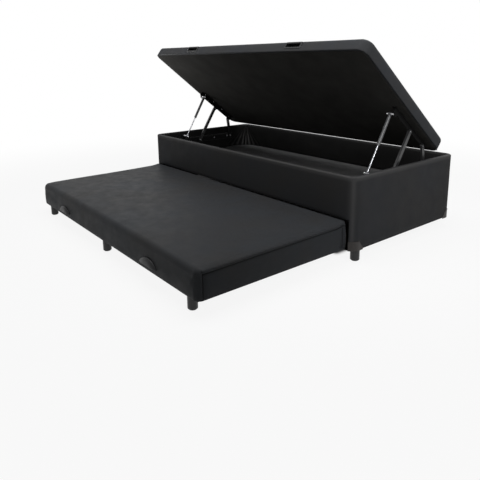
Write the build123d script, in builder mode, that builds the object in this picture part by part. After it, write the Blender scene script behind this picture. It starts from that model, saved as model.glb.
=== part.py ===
from build123d import *
import math
import os

# Storage trundle bed: an upholstered storage box with a lift-up lid, and a low trundle bed
# that slides out of the bay under the box. Millimetres, X along the bed, Z up. The origin is
# on the floor, below the middle of the box's front face. The lid stands open and the trundle
# is pulled out.

# The storage box
bed_length = 1880
bed_width = 880
rim_height = 425
panel_foot = 60
corner_radius = 50
cover = 5
side_board = 18
back_board = 12
lining = 2
rim_pad = 8
rim_round = 7
rim_inner_round = 4
rim_corner = 14
jamb_depth = 40
bay_height = 212
bearer_height = 31
bearer_width = 45
bearer_count = 9
floor_board = 12
overrun = 5

# Gathered folds in the lining at the two rear corners
fold_count = 4
fold_width = 20
fold_pitch = 55
fold_proud = 5
fold_top_gap = 8
fold_edge_gap = 6
fold_top_pitch = 5
fold_top_width = 2.5

# Corner guards, leg plates and legs
guard_wall = 2
guard_lip = 1
guard_lip_height = 4
guard_height = 48
guard_wing = 80
guard_tip = 10
plate_thickness = 3
plate_margin = 8
box_leg_diameter = 46
box_leg_round = 3
box_leg_collar = 2.5
box_leg_collar_height = 4
front_leg_inset = (26, 56)
rear_leg_inset = (125, 35)
spigot_diameter = 14
pad_thickness = 3
pad_margin = 2

# The lid, from its underside up
lid_thickness = 65
lid_top_pad = 6
lid_round = 14
lid_hem = 12
lid_rail = 30
lid_slat_width = 60
lid_slat_thickness = 18
lid_slat_count = 8
lid_deck = 6
rest_gap = 0.5

# The open lid: its tilt, and how far its rear edge has come forward and up
lid_tilt = 38.5
lid_forward = 158
lid_lift = 32

# Lift mechanism: pivots on the lid as (from its rear edge, below its underside), and the
# heights and place of the lower pivots on the box
front_pivot = (244, 32)
rear_pivot = (88, 24)
strut_pivot = (402, 30)
front_post_height = 352
rear_post_height = 356
strut_foot_from_rear = 661
strut_foot_height = 396
rail_block = 24
rail_block_height = 44
rail_thickness = 3
lower_rail_width = 32
lower_rail_tail = 24
ear_radius = 13
upper_rail_depth = 32
upper_rail_flange = 22
upper_rail_ends = (64, 424)
pin_radius = 4
pin_head_radius = 7
pin_head = 3
link_width = 20
link_wall = 2.5
link_lip = 10
rear_link_width = 19
side_gap = 0.3
pin_gap = 0.1
fixed_gap = 0.05
strut_offset = 49
strut_eye_radius = 9
strut_eye_width = 14
strut_tube_radius = 9
strut_tube_wall = 1.5
strut_rod_radius = 4
strut_tube_share = 0.53
strut_neck_radius = 5.5
strut_gland = 12
strut_plug = 8
strut_piston = 8
strut_ball_radius = 6.5
screw_head_radius = 6
screw_head = 2
screw_places_share = (0.1, 0.36, 0.64, 0.9)

# Finger pulls on the lid's front border
lid_pull_spacing = 942
lid_pull_length = 120
lid_pull_height = 42
lid_pull_flange = 2.5
lid_pull_depth = 20
lid_pull_wall = 2.5
lid_pull_border = 7
lid_pull_rise = 36

# The trundle
trundle_end_clearance = 12
trundle_tuck = 2
trundle_foot = 64
trundle_top = 208
trundle_corner = 30
crown_along = 5
crown_across = 5
trundle_round = 24
trundle_skin = 3
trundle_hem = 9
trundle_rail = 25
trundle_rail_height = 75
trundle_slat_width = 70
trundle_slat_thickness = 18
trundle_slat_count = 8
trundle_deck = 6
trundle_leg_diameter = 43
trundle_leg_round = 3
trundle_leg_inset = 31
trundle_leg_end_insets = (84, 150)
half_moon_spacing = 1030
half_moon_width = 156
half_moon_height = 50
half_moon_proud = 27
half_moon_wall = 3
half_moon_round = 14
half_moon_lift = 17

# Worked out from the sizes above
strut_foot = (bed_width - strut_foot_from_rear, strut_foot_height)
half_length = bed_length / 2
board_top = rim_height - rim_pad
trunk_half = half_length - cover - side_board
wall_half = trunk_half - lining
rail_half = wall_half - rail_block
bay_half = trunk_half - cover
front_inside = cover + side_board
back_inside = bed_width - cover - back_board
wall_front = front_inside + lining
wall_back = back_inside - lining
mid_y = bed_width / 2
floor_low = bay_height + bearer_height
floor_high = floor_low + floor_board
fabric_floor = floor_high + lining
trundle_length = 2 * (bay_half - trundle_end_clearance)
pull_out = bed_width + guard_wall + guard_lip - half_moon_proud
trundle_width = pull_out + trundle_tuck
trundle_mid = trundle_tuck - trundle_width / 2
sides = (-1, 1)
side_names = {-1: "left", 1: "right"}

os.makedirs("parts", exist_ok=True)


def save(part, name):
    part.label = name
    export_step(part, f"parts/{name}.step")


# Storage box


def box_outline(inset, mode=Mode.ADD):
    """The box's plan outline, drawn in from its outer face by inset."""
    with Locations((0, mid_y)):
        RectangleRounded(
            bed_length - 2 * inset, bed_width - 2 * inset, corner_radius - inset, mode=mode)


with BuildPart() as box_cover:
    with BuildSketch(Plane.XY.offset(panel_foot)):
        box_outline(0)
        box_outline(cover, mode=Mode.SUBTRACT)
    extrude(amount=board_top - panel_foot)
    with BuildSketch(Plane.XY.offset(board_top)):
        box_outline(0)
        with Locations((0, (wall_front + wall_back) / 2)):
            RectangleRounded(
                2 * wall_half, wall_back - wall_front, rim_corner, mode=Mode.SUBTRACT)
    extrude(amount=rim_pad)
    rim_top = box_cover.faces().sort_by(Axis.Z)[-1]
    fillet(rim_top.outer_wire().edges(), radius=rim_round)
    rim_top = box_cover.faces().filter_by(Axis.Z).sort_by(Axis.Z)[-1]
    fillet(rim_top.inner_wires()[0].edges(), radius=rim_inner_round)
    with BuildSketch(Plane.XY.offset(panel_foot - overrun)):
        with Locations((0, (front_inside - overrun) / 2)):
            Rectangle(2 * bay_half, front_inside + overrun)
    extrude(amount=bay_height - panel_foot + overrun, mode=Mode.SUBTRACT)
    with BuildSketch(Plane.XY.offset(bay_height)):
        with Locations((0, (front_inside + cover / 2) / 2)):
            Rectangle(2 * trunk_half, front_inside - cover / 2)
        box_outline(cover / 2, mode=Mode.INTERSECT)
    extrude(amount=cover)
    for side in sides:
        with BuildSketch(Plane.XY.offset(panel_foot)):
            with Locations((side * (bay_half + cover / 2), jamb_depth / 2)):
                Rectangle(cover, jamb_depth)
            box_outline(cover / 2, mode=Mode.INTERSECT)
        extrude(amount=bay_height - panel_foot)
save(box_cover.part, "box_cover")


def end_board(side):
    with BuildPart() as board:
        with BuildSketch(Plane.XY.offset(panel_foot)):
            box_outline(cover)
            with Locations((side * (trunk_half + side_board / 2), mid_y)):
                Rectangle(side_board, bed_width, mode=Mode.INTERSECT)
        extrude(amount=board_top - panel_foot)
    save(board.part, f"{side_names[side]}_end_board")


for side in sides:
    end_board(side)

with BuildPart() as front_board:
    with BuildSketch(Plane.XY.offset(bay_height + cover)):
        with Locations((0, cover + side_board / 2)):
            Rectangle(2 * trunk_half, side_board)
        box_outline(cover, mode=Mode.INTERSECT)
    extrude(amount=board_top - bay_height - cover)
save(front_board.part, "front_board")

with BuildPart() as rear_board:
    with BuildSketch(Plane.XY.offset(panel_foot)):
        with Locations((0, back_inside + back_board / 2)):
            Rectangle(2 * trunk_half, back_board)
        box_outline(cover, mode=Mode.INTERSECT)
    extrude(amount=board_top - panel_foot)
save(rear_board.part, "back_board")

with BuildPart() as floor_bearers:
    bearer_pitch = (2 * trunk_half - bearer_width) / (bearer_count - 1)
    with BuildSketch(Plane.XY.offset(bay_height)):
        with Locations((0, (front_inside + back_inside) / 2)):
            with GridLocations(bearer_pitch, bed_width, bearer_count, 1):
                Rectangle(bearer_width, back_inside - front_inside)
    extrude(amount=bearer_height)
save(floor_bearers.part, "floor_bearers")

with BuildPart() as trunk_floor:
    with BuildSketch(Plane.XY.offset(floor_low)):
        with Locations((0, (front_inside + back_inside) / 2)):
            Rectangle(2 * trunk_half, back_inside - front_inside)
    extrude(amount=floor_board)
save(trunk_floor.part, "trunk_floor")

with BuildPart() as trunk_floor_cloth:
    with BuildSketch(Plane.XY.offset(floor_high)):
        with Locations((0, (wall_front + wall_back) / 2)):
            Rectangle(2 * wall_half, wall_back - wall_front)
    extrude(amount=lining)
save(trunk_floor_cloth.part, "trunk_floor_cloth")


def fold_outline(corner, step, number):
    """One fold, narrow at the top of a corner and fanned out along the wall at the floor."""
    high = board_top - fold_top_gap
    head = corner + step * (fold_edge_gap + number * fold_top_pitch)
    foot = corner + step * fold_pitch * (number + 1 / 2)
    return ((head, high), (foot, fabric_floor), (foot + step * fold_width, fabric_floor),
            (head + step * fold_top_width, high))


with BuildPart() as trunk_lining:
    with BuildSketch(Plane.XY.offset(floor_high)):
        with Locations((0, (wall_front + wall_back) / 2)):
            Rectangle(2 * trunk_half, wall_back - wall_front + 2 * lining)
            Rectangle(2 * wall_half, wall_back - wall_front, mode=Mode.SUBTRACT)
    extrude(amount=board_top - floor_high)
    for side in sides:
        for number in range(fold_count):
            with BuildSketch(Plane.YZ.offset(side * wall_half)):
                with BuildLine():
                    Polyline(*fold_outline(wall_back, -1, number), close=True)
                make_face()
            extrude(amount=-side * fold_proud)
            with BuildSketch(Plane.XZ.offset(-wall_back)):
                with BuildLine():
                    Polyline(*fold_outline(side * wall_half, -side, number), close=True)
                make_face()
            extrude(amount=fold_proud)
save(trunk_lining.part, "trunk_lining")

# Corner guards, leg plates and legs of the box


def corner_guard(side, rear):
    """A moulded guard round a lower corner, with a wing that tapers along the end face."""
    low = panel_foot - plate_thickness
    corner_y = bed_width if rear else 0
    inward = -1 if rear else 1
    with BuildPart() as guard:
        levels = ((low, guard_height, guard_wall),
                  (low + guard_height - guard_lip_height, guard_lip_height, guard_wall + guard_lip))
        for level, height, proud in levels:
            with BuildSketch(Plane.XY.offset(level)):
                box_outline(-proud)
                box_outline(0, mode=Mode.SUBTRACT)
                with Locations((side * (bay_half + half_length), corner_y)):
                    Rectangle(2 * half_length, 2 * guard_wing, mode=Mode.INTERSECT)
            extrude(amount=height)
        with BuildSketch(Plane.YZ.offset(side * (half_length - overrun))):
            with BuildLine():
                Polyline(
                    (corner_y + inward * corner_radius, low + guard_height),
                    (corner_y + inward * corner_radius, low + guard_height + overrun),
                    (corner_y + inward * (guard_wing + overrun), low + guard_height + overrun),
                    (corner_y + inward * (guard_wing + overrun), low + guard_tip),
                    (corner_y + inward * guard_wing, low + guard_tip), close=True)
            make_face()
        extrude(amount=side * 4 * overrun, mode=Mode.SUBTRACT)
    row = "rear" if rear else "front"
    save(guard.part, f"{row}_{side_names[side]}_corner_guard")


for side in sides:
    for rear in (False, True):
        corner_guard(side, rear)


def leg_places():
    """Centres of the four box legs, front pair then rear pair."""
    places = []
    for side in sides:
        places.append((side * (half_length - front_leg_inset[0]), front_leg_inset[1]))
    for side in sides:
        places.append((side * (half_length - rear_leg_inset[0]), bed_width - rear_leg_inset[1]))
    return places


plate_low = panel_foot - plate_thickness
with BuildPart() as leg_plates:
    for x, y in leg_places():
        side = 1 if x > 0 else -1
        reach_x = half_length - abs(x) + box_leg_diameter / 2 + plate_margin
        reach_y = min(y, bed_width - y) + box_leg_diameter / 2 + plate_margin
        corner_y = 0 if y < mid_y else bed_width
        with BuildSketch(Plane.XY.offset(plate_low)):
            with Locations((side * half_length, corner_y)):
                Rectangle(2 * reach_x, 2 * reach_y)
            box_outline(cover, mode=Mode.INTERSECT)
            with Locations((x, y)):
                Circle(spigot_diameter / 2 + fixed_gap, mode=Mode.SUBTRACT)
        extrude(amount=plate_thickness)
save(leg_plates.part, "leg_plates")

with BuildPart() as box_legs:
    with BuildSketch(Plane.XY.offset(pad_thickness)):
        with Locations(*leg_places()):
            Circle(box_leg_diameter / 2)
    extrude(amount=plate_low - pad_thickness)
    fillet(box_legs.edges().group_by(Axis.Z)[0], radius=box_leg_round)
    with BuildSketch(Plane.XY.offset(plate_low)):
        with Locations(*leg_places()):
            Circle(box_leg_diameter / 2 + box_leg_collar)
    extrude(amount=-box_leg_collar_height)
    with BuildSketch(Plane.XY.offset(plate_low)):
        with Locations(*leg_places()):
            Circle(spigot_diameter / 2)
    extrude(amount=plate_thickness)
save(box_legs.part, "box_legs")

with BuildPart() as box_leg_pads:
    with BuildSketch(Plane.XY):
        with Locations(*leg_places()):
            Circle(box_leg_diameter / 2 - box_leg_round - pad_margin)
    extrude(amount=pad_thickness)
save(box_leg_pads.part, "box_leg_pads")

# Lift mechanism: where its pivots are

tilt = math.radians(lid_tilt)
lid_low = rim_height + rest_gap
lid_edge = (bed_width - lid_forward, lid_low + lid_lift)
lid_plane = Plane(
    origin=(0, lid_edge[0], lid_edge[1]), x_dir=(1, 0, 0),
    z_dir=(0, math.sin(tilt), math.cos(tilt)))


def opened(pivot):
    """The place of a pivot of the lid while the lid stands open, as (y, z)."""
    along, below = pivot
    y = lid_edge[0] - along * math.cos(tilt) - below * math.sin(tilt)
    z = lid_edge[1] + along * math.sin(tilt) - below * math.cos(tilt)
    return (y, z)


def closed(pivot):
    """The place of the same pivot when the lid lies on the box."""
    along, below = pivot
    return (bed_width - along, lid_low - below)


def post(pivot, height):
    """The fixed pivot at this height that is as far from both places of a lid pivot."""
    open_y, open_z = opened(pivot)
    closed_y, closed_z = closed(pivot)
    across = (height - (open_z + closed_z) / 2) / (closed_y - open_y)
    return ((open_y + closed_y) / 2 - across * (closed_z - open_z), height)


front_post = post(front_pivot, front_post_height)
rear_post = post(rear_pivot, rear_post_height)


def heading(start, end):
    """The direction from start to end in degrees, from +Y towards +Z."""
    return math.degrees(math.atan2(end[1] - start[1], end[0] - start[0]))


def span(start, end):
    return math.dist(start, end)


def across_box(side, depth):
    """A plane square to X, this deep inside the rail's block, with Y and Z as its axes."""
    return Plane.YZ.offset(side * (rail_half - depth))


def disc(side, depth, thickness, centre, radius, mode=Mode.ADD):
    """A round boss on a plane square to X, towards the middle of the bed."""
    with BuildSketch(across_box(side, depth)) as face:
        with Locations(centre):
            Circle(radius)
    extrude(face.sketch, amount=-side * thickness, mode=mode)


link_depth = rail_thickness + side_gap
flange_depth = link_depth + link_wall + link_lip + side_gap
flange_inside = flange_depth + rail_thickness
eye_depth = strut_offset - strut_eye_width / 2
stud_end = strut_offset + strut_eye_width / 2 + side_gap


def rail_screw_places():
    """Screw places along the lower rail."""
    start = strut_foot[0] - lower_rail_tail
    end = rear_post[0] + lower_rail_tail
    return [(start + share * (end - start), front_post_height) for share in screw_places_share]


with BuildPart() as rail_blocks:
    for side in sides:
        with BuildSketch(Plane.YZ.offset(side * wall_half)):
            start = strut_foot[0] - lower_rail_tail
            end = rear_post[0] + lower_rail_tail
            with Locations(((start + end) / 2, front_post_height)):
                Rectangle(end - start, rail_block_height)
        extrude(amount=-side * rail_block)
save(rail_blocks.part, "rail_blocks")


def lower_rail(side):
    """The flat rail on its block, with an ear for the strut's foot and screws let in flush."""
    low = front_post_height - lower_rail_width / 2
    with BuildPart() as rail:
        with BuildSketch(across_box(side, 0)):
            start = strut_foot[0] - lower_rail_tail
            end = rear_post[0] + lower_rail_tail
            with Locations(((start + end) / 2, low + lower_rail_width / 2)):
                RectangleRounded(end - start, lower_rail_width, rail_thickness)
            with Locations(strut_foot):
                Circle(ear_radius)
            with Locations((strut_foot[0], (strut_foot[1] + front_post_height) / 2)):
                Rectangle(2 * ear_radius, strut_foot[1] - front_post_height)
            with Locations(*rail_screw_places()):
                Circle(screw_head_radius + fixed_gap, mode=Mode.SUBTRACT)
        extrude(amount=-side * rail_thickness)
    save(rail.part, f"{side_names[side]}_lower_rail")


def link(side, start, end, width, name):
    """A pressed steel link: a flat web with a lip all round, and a hole at each pivot."""
    centre = ((start[0] + end[0]) / 2, (start[1] + end[1]) / 2)
    length = span(start, end)
    turn = heading(start, end)
    with BuildPart() as strip:
        with BuildSketch(across_box(side, link_depth)):
            with Locations(centre):
                SlotCenterToCenter(length, width, rotation=turn)
            with Locations(start, end):
                Circle(pin_radius + pin_gap, mode=Mode.SUBTRACT)
        extrude(amount=-side * link_wall)
        with BuildSketch(across_box(side, link_depth + link_wall)):
            with Locations(centre):
                SlotCenterToCenter(length, width, rotation=turn)
                SlotCenterToCenter(
                    length, width - 2 * link_wall, rotation=turn, mode=Mode.SUBTRACT)
        extrude(amount=-side * link_lip)
    save(strip.part, f"{side_names[side]}_{name}")


for side in sides:
    lower_rail(side)
    link(side, front_post, opened(front_pivot), link_width, "front_link")
    link(side, rear_post, opened(rear_pivot), rear_link_width, "rear_link")


with BuildPart() as lower_rail_screws:
    for side in sides:
        for place in rail_screw_places():
            disc(side, 0, rail_thickness, place, screw_head_radius)
save(lower_rail_screws.part, "lower_rail_screws")

with BuildPart() as lower_pivot_pins:
    for side in sides:
        for place in (front_post, rear_post):
            reach = link_wall + 2 * side_gap
            disc(side, rail_thickness, reach, place, pin_radius)
            disc(side, rail_thickness + reach, pin_head, place, pin_head_radius)
save(lower_pivot_pins.part, "lower_pivot_pins")


def ball_stud(side, start_depth, centre):
    """A stud towards the middle of the bed, with a round head past the strut's eye."""
    ball_depth = stud_end + strut_ball_radius
    disc(side, start_depth, ball_depth - start_depth, centre, pin_radius)
    with Locations((side * (rail_half - ball_depth), centre[0], centre[1])):
        Sphere(strut_ball_radius)


with BuildPart() as strut_foot_studs:
    for side in sides:
        ball_stud(side, rail_thickness, strut_foot)
        disc(side, rail_thickness, eye_depth - side_gap - rail_thickness, strut_foot,
             pin_head_radius)
save(strut_foot_studs.part, "strut_foot_studs")

strut_head = opened(strut_pivot)
strut_length = span(strut_foot, strut_head)
strut_closed_length = span(strut_foot, closed(strut_pivot))
tube_start = strut_length * (1 - strut_tube_share)


def strut_plane(side):
    """The strut's own plane: its origin at the foot, its normal along the strut."""
    turn = math.radians(heading(strut_foot, strut_head))
    return Plane(
        origin=(side * (rail_half - strut_offset), strut_foot[0], strut_foot[1]),
        x_dir=(1, 0, 0), z_dir=(0, math.cos(turn), math.sin(turn)))


def round_bar(side, start, end, radius, bore=0):
    """A length of round bar or tube along the strut, measured from its foot."""
    with BuildSketch(strut_plane(side).offset(start)) as face:
        Circle(radius)
        if bore:
            Circle(bore, mode=Mode.SUBTRACT)
    extrude(face.sketch, amount=end - start)


def strut_rod(side):
    """The bright rod with its piston, and the eye at its foot."""
    with BuildPart() as rod:
        round_bar(side, 0, strut_eye_radius * 2, strut_neck_radius)
        round_bar(side, strut_eye_radius * 2, tube_start + strut_gland + strut_piston,
                  strut_rod_radius)
        round_bar(side, tube_start + strut_gland + side_gap * 4,
                  tube_start + strut_gland + side_gap * 4 + strut_piston,
                  strut_tube_radius - strut_tube_wall - fixed_gap)
        disc(side, eye_depth, strut_eye_width, strut_foot, strut_eye_radius)
        disc(side, eye_depth - overrun, strut_eye_width + 2 * overrun, strut_foot,
             pin_radius + pin_gap, mode=Mode.SUBTRACT)
    save(rod.part, f"{side_names[side]}_strut_rod")


def strut_tube(side):
    """The strut's tube with its gland, end plug and top eye."""
    tube_end = strut_length - strut_eye_radius * 3 / 2
    bore = strut_tube_radius - strut_tube_wall
    with BuildPart() as tube:
        round_bar(side, tube_start, tube_start + strut_gland, strut_tube_radius,
                  strut_rod_radius + fixed_gap)
        round_bar(side, tube_start + strut_gland, tube_end - strut_plug, strut_tube_radius, bore)
        round_bar(side, tube_end - strut_plug, tube_end, strut_tube_radius)
        round_bar(side, tube_end, strut_length, strut_neck_radius)
        disc(side, eye_depth, strut_eye_width, strut_head, strut_eye_radius)
        disc(side, eye_depth - overrun, strut_eye_width + 2 * overrun, strut_head,
             pin_radius + fixed_gap, mode=Mode.SUBTRACT)
    save(tube.part, f"{side_names[side]}_strut_tube")


for side in sides:
    strut_rod(side)
    strut_tube(side)

with BuildPart() as strut_head_studs:
    for side in sides:
        ball_stud(side, flange_inside + side_gap, strut_head)
        disc(side, flange_inside + side_gap, eye_depth - flange_inside - side_gap, strut_head,
             pin_head_radius)
save(strut_head_studs.part, "strut_head_studs")

with BuildPart() as rear_link_rivets:
    for side in sides:
        reach = flange_depth - side_gap - link_depth
        disc(side, link_depth, reach, opened(rear_pivot), pin_radius + pin_gap - fixed_gap)
save(rear_link_rivets.part, "rear_link_rivets")

# The lid


def lid_outline(inset, mode=Mode.ADD):
    with Locations((0, -mid_y)):
        RectangleRounded(
            bed_length - 2 * inset, bed_width - 2 * inset, corner_radius - inset, mode=mode)


lid_deck_top = lid_thickness - lid_top_pad
lid_deck_low = lid_deck_top - lid_deck
pull_places = [(side * lid_pull_spacing / 2, -bed_width) for side in sides]


def pull_box(grow, depth):
    """The block that a lid pull's cup fills in the front border, grown all round."""
    length = lid_pull_length - 2 * lid_pull_border + 2 * grow
    height = lid_pull_height - 2 * lid_pull_border + 2 * grow
    with BuildSketch(lid_plane.offset(lid_pull_rise - height / 2)) as face:
        with Locations(*pull_places):
            Rectangle(length, 2 * depth)
    extrude(face.sketch, amount=height, mode=Mode.SUBTRACT)


with BuildPart() as lid_cover:
    with BuildSketch(lid_plane):
        lid_outline(0)
    extrude(amount=lid_thickness)
    fillet(lid_cover.edges().filter_by(
        lambda edge: abs(lid_plane.to_local_coords(edge).center().Z - lid_thickness) < rest_gap),
        radius=lid_round)
    with BuildSketch(lid_plane.offset(lining)):
        lid_outline(cover)
    extrude(amount=lid_deck_top - lining, mode=Mode.SUBTRACT)
    with BuildSketch(lid_plane.offset(-overrun)):
        lid_outline(lid_hem)
    extrude(amount=2 * overrun, mode=Mode.SUBTRACT)
    pull_box(0, lid_pull_depth)
save(lid_cover.part, "lid_cover")

with BuildPart() as lid_lining:
    with BuildSketch(lid_plane):
        lid_outline(lid_hem)
    extrude(amount=lining)
save(lid_lining.part, "lid_lining")


def lid_board(name, low, high, centre, size, pulls=False):
    """A board inside the lid's cover, trimmed to the cover's rounded outline."""
    with BuildPart() as board:
        with BuildSketch(lid_plane.offset(low)):
            with Locations(centre):
                Rectangle(*size)
            lid_outline(cover, mode=Mode.INTERSECT)
        extrude(amount=high - low)
        if pulls:
            pull_box(fixed_gap, lid_pull_depth + fixed_gap)
    save(board.part, name)


rail_mid = cover + lid_rail / 2
cross_length = bed_width - 2 * (cover + lid_rail)
lid_board("lid_front_rail", lining, lid_deck_low, (0, -bed_width + rail_mid),
          (bed_length, lid_rail), pulls=True)
lid_board("lid_rear_rail", lining, lid_deck_low, (0, -rail_mid), (bed_length, lid_rail))
for side in sides:
    lid_board(f"lid_{side_names[side]}_rail", lining, lid_deck_low,
              (side * (half_length - rail_mid), -mid_y), (lid_rail, cross_length))
lid_board("lid_deck", lid_deck_low, lid_deck_top, (0, -mid_y), (bed_length, bed_width))

with BuildPart() as lid_slats:
    slat_room = bed_length - 2 * (cover + lid_rail)
    slat_pitch = slat_room / (lid_slat_count + 1)
    with BuildSketch(lid_plane.offset(lid_deck_low - lid_slat_thickness)):
        with Locations((0, -mid_y)):
            with GridLocations(slat_pitch, bed_width, lid_slat_count, 1):
                Rectangle(lid_slat_width, cross_length)
    extrude(amount=lid_slat_thickness)
save(lid_slats.part, "lid_slats")


def lid_pull(side):
    """A moulded finger pull: a flange, and a cup with a floor that slopes inwards and up."""
    x = side * lid_pull_spacing / 2
    length = lid_pull_length - 2 * lid_pull_border
    height = lid_pull_height - 2 * lid_pull_border
    face = Plane(
        origin=lid_plane.from_local_coords(Vector(x, -bed_width, lid_pull_rise)),
        x_dir=(1, 0, 0), z_dir=-lid_plane.y_dir)
    profile = Plane(
        origin=lid_plane.from_local_coords(
            Vector(x - length / 2 + lid_pull_wall, -bed_width, lid_pull_rise)),
        x_dir=lid_plane.y_dir, z_dir=(1, 0, 0))
    with BuildPart() as pull:
        with BuildSketch(face):
            RectangleRounded(lid_pull_length, lid_pull_height, lid_pull_border)
        extrude(amount=lid_pull_flange)
        fillet(pull.faces().sort_by(Axis(face.origin, face.z_dir))[-1].edges(),
               radius=lid_pull_flange / 2)
        with BuildSketch(face):
            Rectangle(length, height)
        extrude(amount=-lid_pull_depth)
        with BuildSketch(profile):
            with BuildLine():
                Polyline(
                    (-lid_pull_flange - overrun, -height / 2 + lid_pull_wall),
                    (-lid_pull_flange - overrun, height / 2 - lid_pull_wall),
                    (lid_pull_depth - lid_pull_wall, height / 2 - lid_pull_wall),
                    (lid_pull_depth - lid_pull_wall, lid_pull_wall),
                    (0, -height / 2 + lid_pull_wall), close=True)
            make_face()
        extrude(amount=length - 2 * lid_pull_wall, mode=Mode.SUBTRACT)
    save(pull.part, f"lid_{side_names[side]}_pull")


for side in sides:
    lid_pull(side)


def upper_rail(side):
    """The angle on the lid's underside that the links and the strut lift."""
    start, end = upper_rail_ends
    with BuildPart() as rail:
        with BuildSketch(across_box(side, flange_depth)):
            with BuildLine():
                Polyline(opened((start, 0)), opened((end, 0)),
                         opened((end, strut_pivot[1])), opened((start, rear_pivot[1])),
                         close=True)
            make_face()
            for pivot in (front_pivot, rear_pivot, strut_pivot):
                with Locations(opened(pivot)):
                    Circle(ear_radius)
            with BuildLine():
                along, below = front_pivot
                Polyline(opened((along - 3 * ear_radius, 0)), opened((along + 3 * ear_radius, 0)),
                         opened((along + ear_radius, below)), opened((along - ear_radius, below)),
                         close=True)
            make_face()
            with Locations(opened(front_pivot)):
                Circle(pin_radius + fixed_gap, mode=Mode.SUBTRACT)
        extrude(amount=-side * rail_thickness)
        with BuildSketch(lid_plane):
            foot = rail_half - flange_depth
            with Locations((side * (foot - upper_rail_flange / 2), -(start + end) / 2)):
                Rectangle(upper_rail_flange, end - start)
        extrude(amount=-rail_thickness)
    save(rail.part, f"{side_names[side]}_upper_rail")


for side in sides:
    upper_rail(side)

with BuildPart() as upper_rail_screws:
    start, end = upper_rail_ends
    flange_mid = rail_half - flange_depth - rail_thickness / 2 - upper_rail_flange / 2
    with BuildSketch(lid_plane.offset(-rail_thickness)):
        places = [(side * flange_mid, -start - share * (end - start))
                  for side in sides for share in screw_places_share]
        with Locations(*places):
            Circle(screw_head_radius)
    extrude(amount=-screw_head)
save(upper_rail_screws.part, "upper_rail_screws")

with BuildPart() as upper_pivot_pins:
    for side in sides:
        place = opened(front_pivot)
        disc(side, link_depth, flange_inside - link_depth, place, pin_radius)
        disc(side, flange_inside, pin_head, place, pin_head_radius)
save(upper_pivot_pins.part, "upper_pivot_pins")

# The trundle


def trundle_outline(inset, mode=Mode.ADD):
    with Locations((0, trundle_mid)):
        RectangleRounded(
            trundle_length - 2 * inset, trundle_width - 2 * inset, trundle_corner - inset,
            mode=mode)


def crowned_block(low, inset, mode=Mode.ADD):
    """The padded top's form: a rounded block whose top swells along and across the bed."""
    top = trundle_top - inset
    half = trundle_length / 2
    arc_across = ((trundle_width / 2) ** 2 + crown_across ** 2) / (2 * crown_across) - inset
    with BuildPart(mode=Mode.PRIVATE) as block:
        with BuildSketch(Plane.XY.offset(low)):
            trundle_outline(inset)
        extrude(amount=trundle_top)
        with BuildSketch(Plane.XZ.offset(-trundle_mid)):
            with BuildLine():
                ThreePointArc(
                    (-half, top - crown_along), (0, top), (half, top - crown_along))
                Polyline(
                    (half, top - crown_along), (half, low - trundle_top),
                    (-half, low - trundle_top), (-half, top - crown_along))
            make_face()
        axis = Axis((0, trundle_mid, top - arc_across), (1, 0, 0))
        revolve(axis=axis, mode=Mode.INTERSECT)
        upper = block.edges().filter_by(
            lambda edge: edge.center().Z > low + (top - low) / 2
            and edge.bounding_box().size.Z < 2 * (crown_along + crown_across))
        fillet(upper, radius=trundle_round - inset)
    return block.part


rail_low = trundle_foot + lining
rail_high = rail_low + trundle_rail_height
deck_high = rail_high + trundle_deck

with BuildPart() as trundle_cover:
    add(crowned_block(trundle_foot, 0))
    add(crowned_block(rail_low, trundle_skin), mode=Mode.SUBTRACT)
    with BuildSketch(Plane.XY.offset(trundle_foot - overrun)):
        trundle_outline(trundle_hem)
    extrude(amount=2 * overrun, mode=Mode.SUBTRACT)
save(trundle_cover.part, "trundle_cover")

with BuildPart() as trundle_pad:
    add(crowned_block(rail_low, trundle_skin))
    with BuildSketch(Plane.XY.offset(rail_low - overrun)):
        trundle_outline(0)
    extrude(amount=deck_high - rail_low + overrun, mode=Mode.SUBTRACT)
save(trundle_pad.part, "trundle_pad")


def trundle_board(name, low, high, centre, size):
    with BuildPart() as board:
        with BuildSketch(Plane.XY.offset(low)):
            with Locations(centre):
                Rectangle(*size)
            trundle_outline(trundle_skin, mode=Mode.INTERSECT)
        extrude(amount=high - low)
    save(board.part, name)


tray_front = trundle_mid - trundle_width / 2
tray_rear = trundle_mid + trundle_width / 2
tray_rail_mid = trundle_skin + trundle_rail / 2
tray_inside = trundle_width - 2 * (trundle_skin + trundle_rail)
trundle_board("trundle_front_rail", rail_low, rail_high, (0, tray_front + tray_rail_mid),
              (trundle_length, trundle_rail))
trundle_board("trundle_rear_rail", rail_low, rail_high, (0, tray_rear - tray_rail_mid),
              (trundle_length, trundle_rail))
for side in sides:
    trundle_board(f"trundle_{side_names[side]}_rail", rail_low, rail_high,
                  (side * (trundle_length / 2 - tray_rail_mid), trundle_mid),
                  (trundle_rail, tray_inside))
trundle_board("trundle_deck", rail_high, deck_high, (0, trundle_mid),
              (trundle_length, trundle_width))

with BuildPart() as trundle_slats:
    slat_room = trundle_length - 2 * (trundle_skin + trundle_rail)
    slat_pitch = slat_room / (trundle_slat_count + 1)
    with BuildSketch(Plane.XY.offset(rail_high - trundle_slat_thickness)):
        with Locations((0, trundle_mid)):
            with GridLocations(slat_pitch, trundle_width, trundle_slat_count, 1):
                Rectangle(trundle_slat_width, tray_inside)
    extrude(amount=trundle_slat_thickness)
save(trundle_slats.part, "trundle_slats")


def trundle_leg_places():
    """Centres of the six trundle legs: a front row, and a rear row that is closer together."""
    rows = (tray_front + trundle_leg_inset, tray_rear - trundle_leg_inset)
    return [(step * (trundle_length / 2 - inset), y)
            for y, inset in zip(rows, trundle_leg_end_insets) for step in (-1, 0, 1)]


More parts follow.
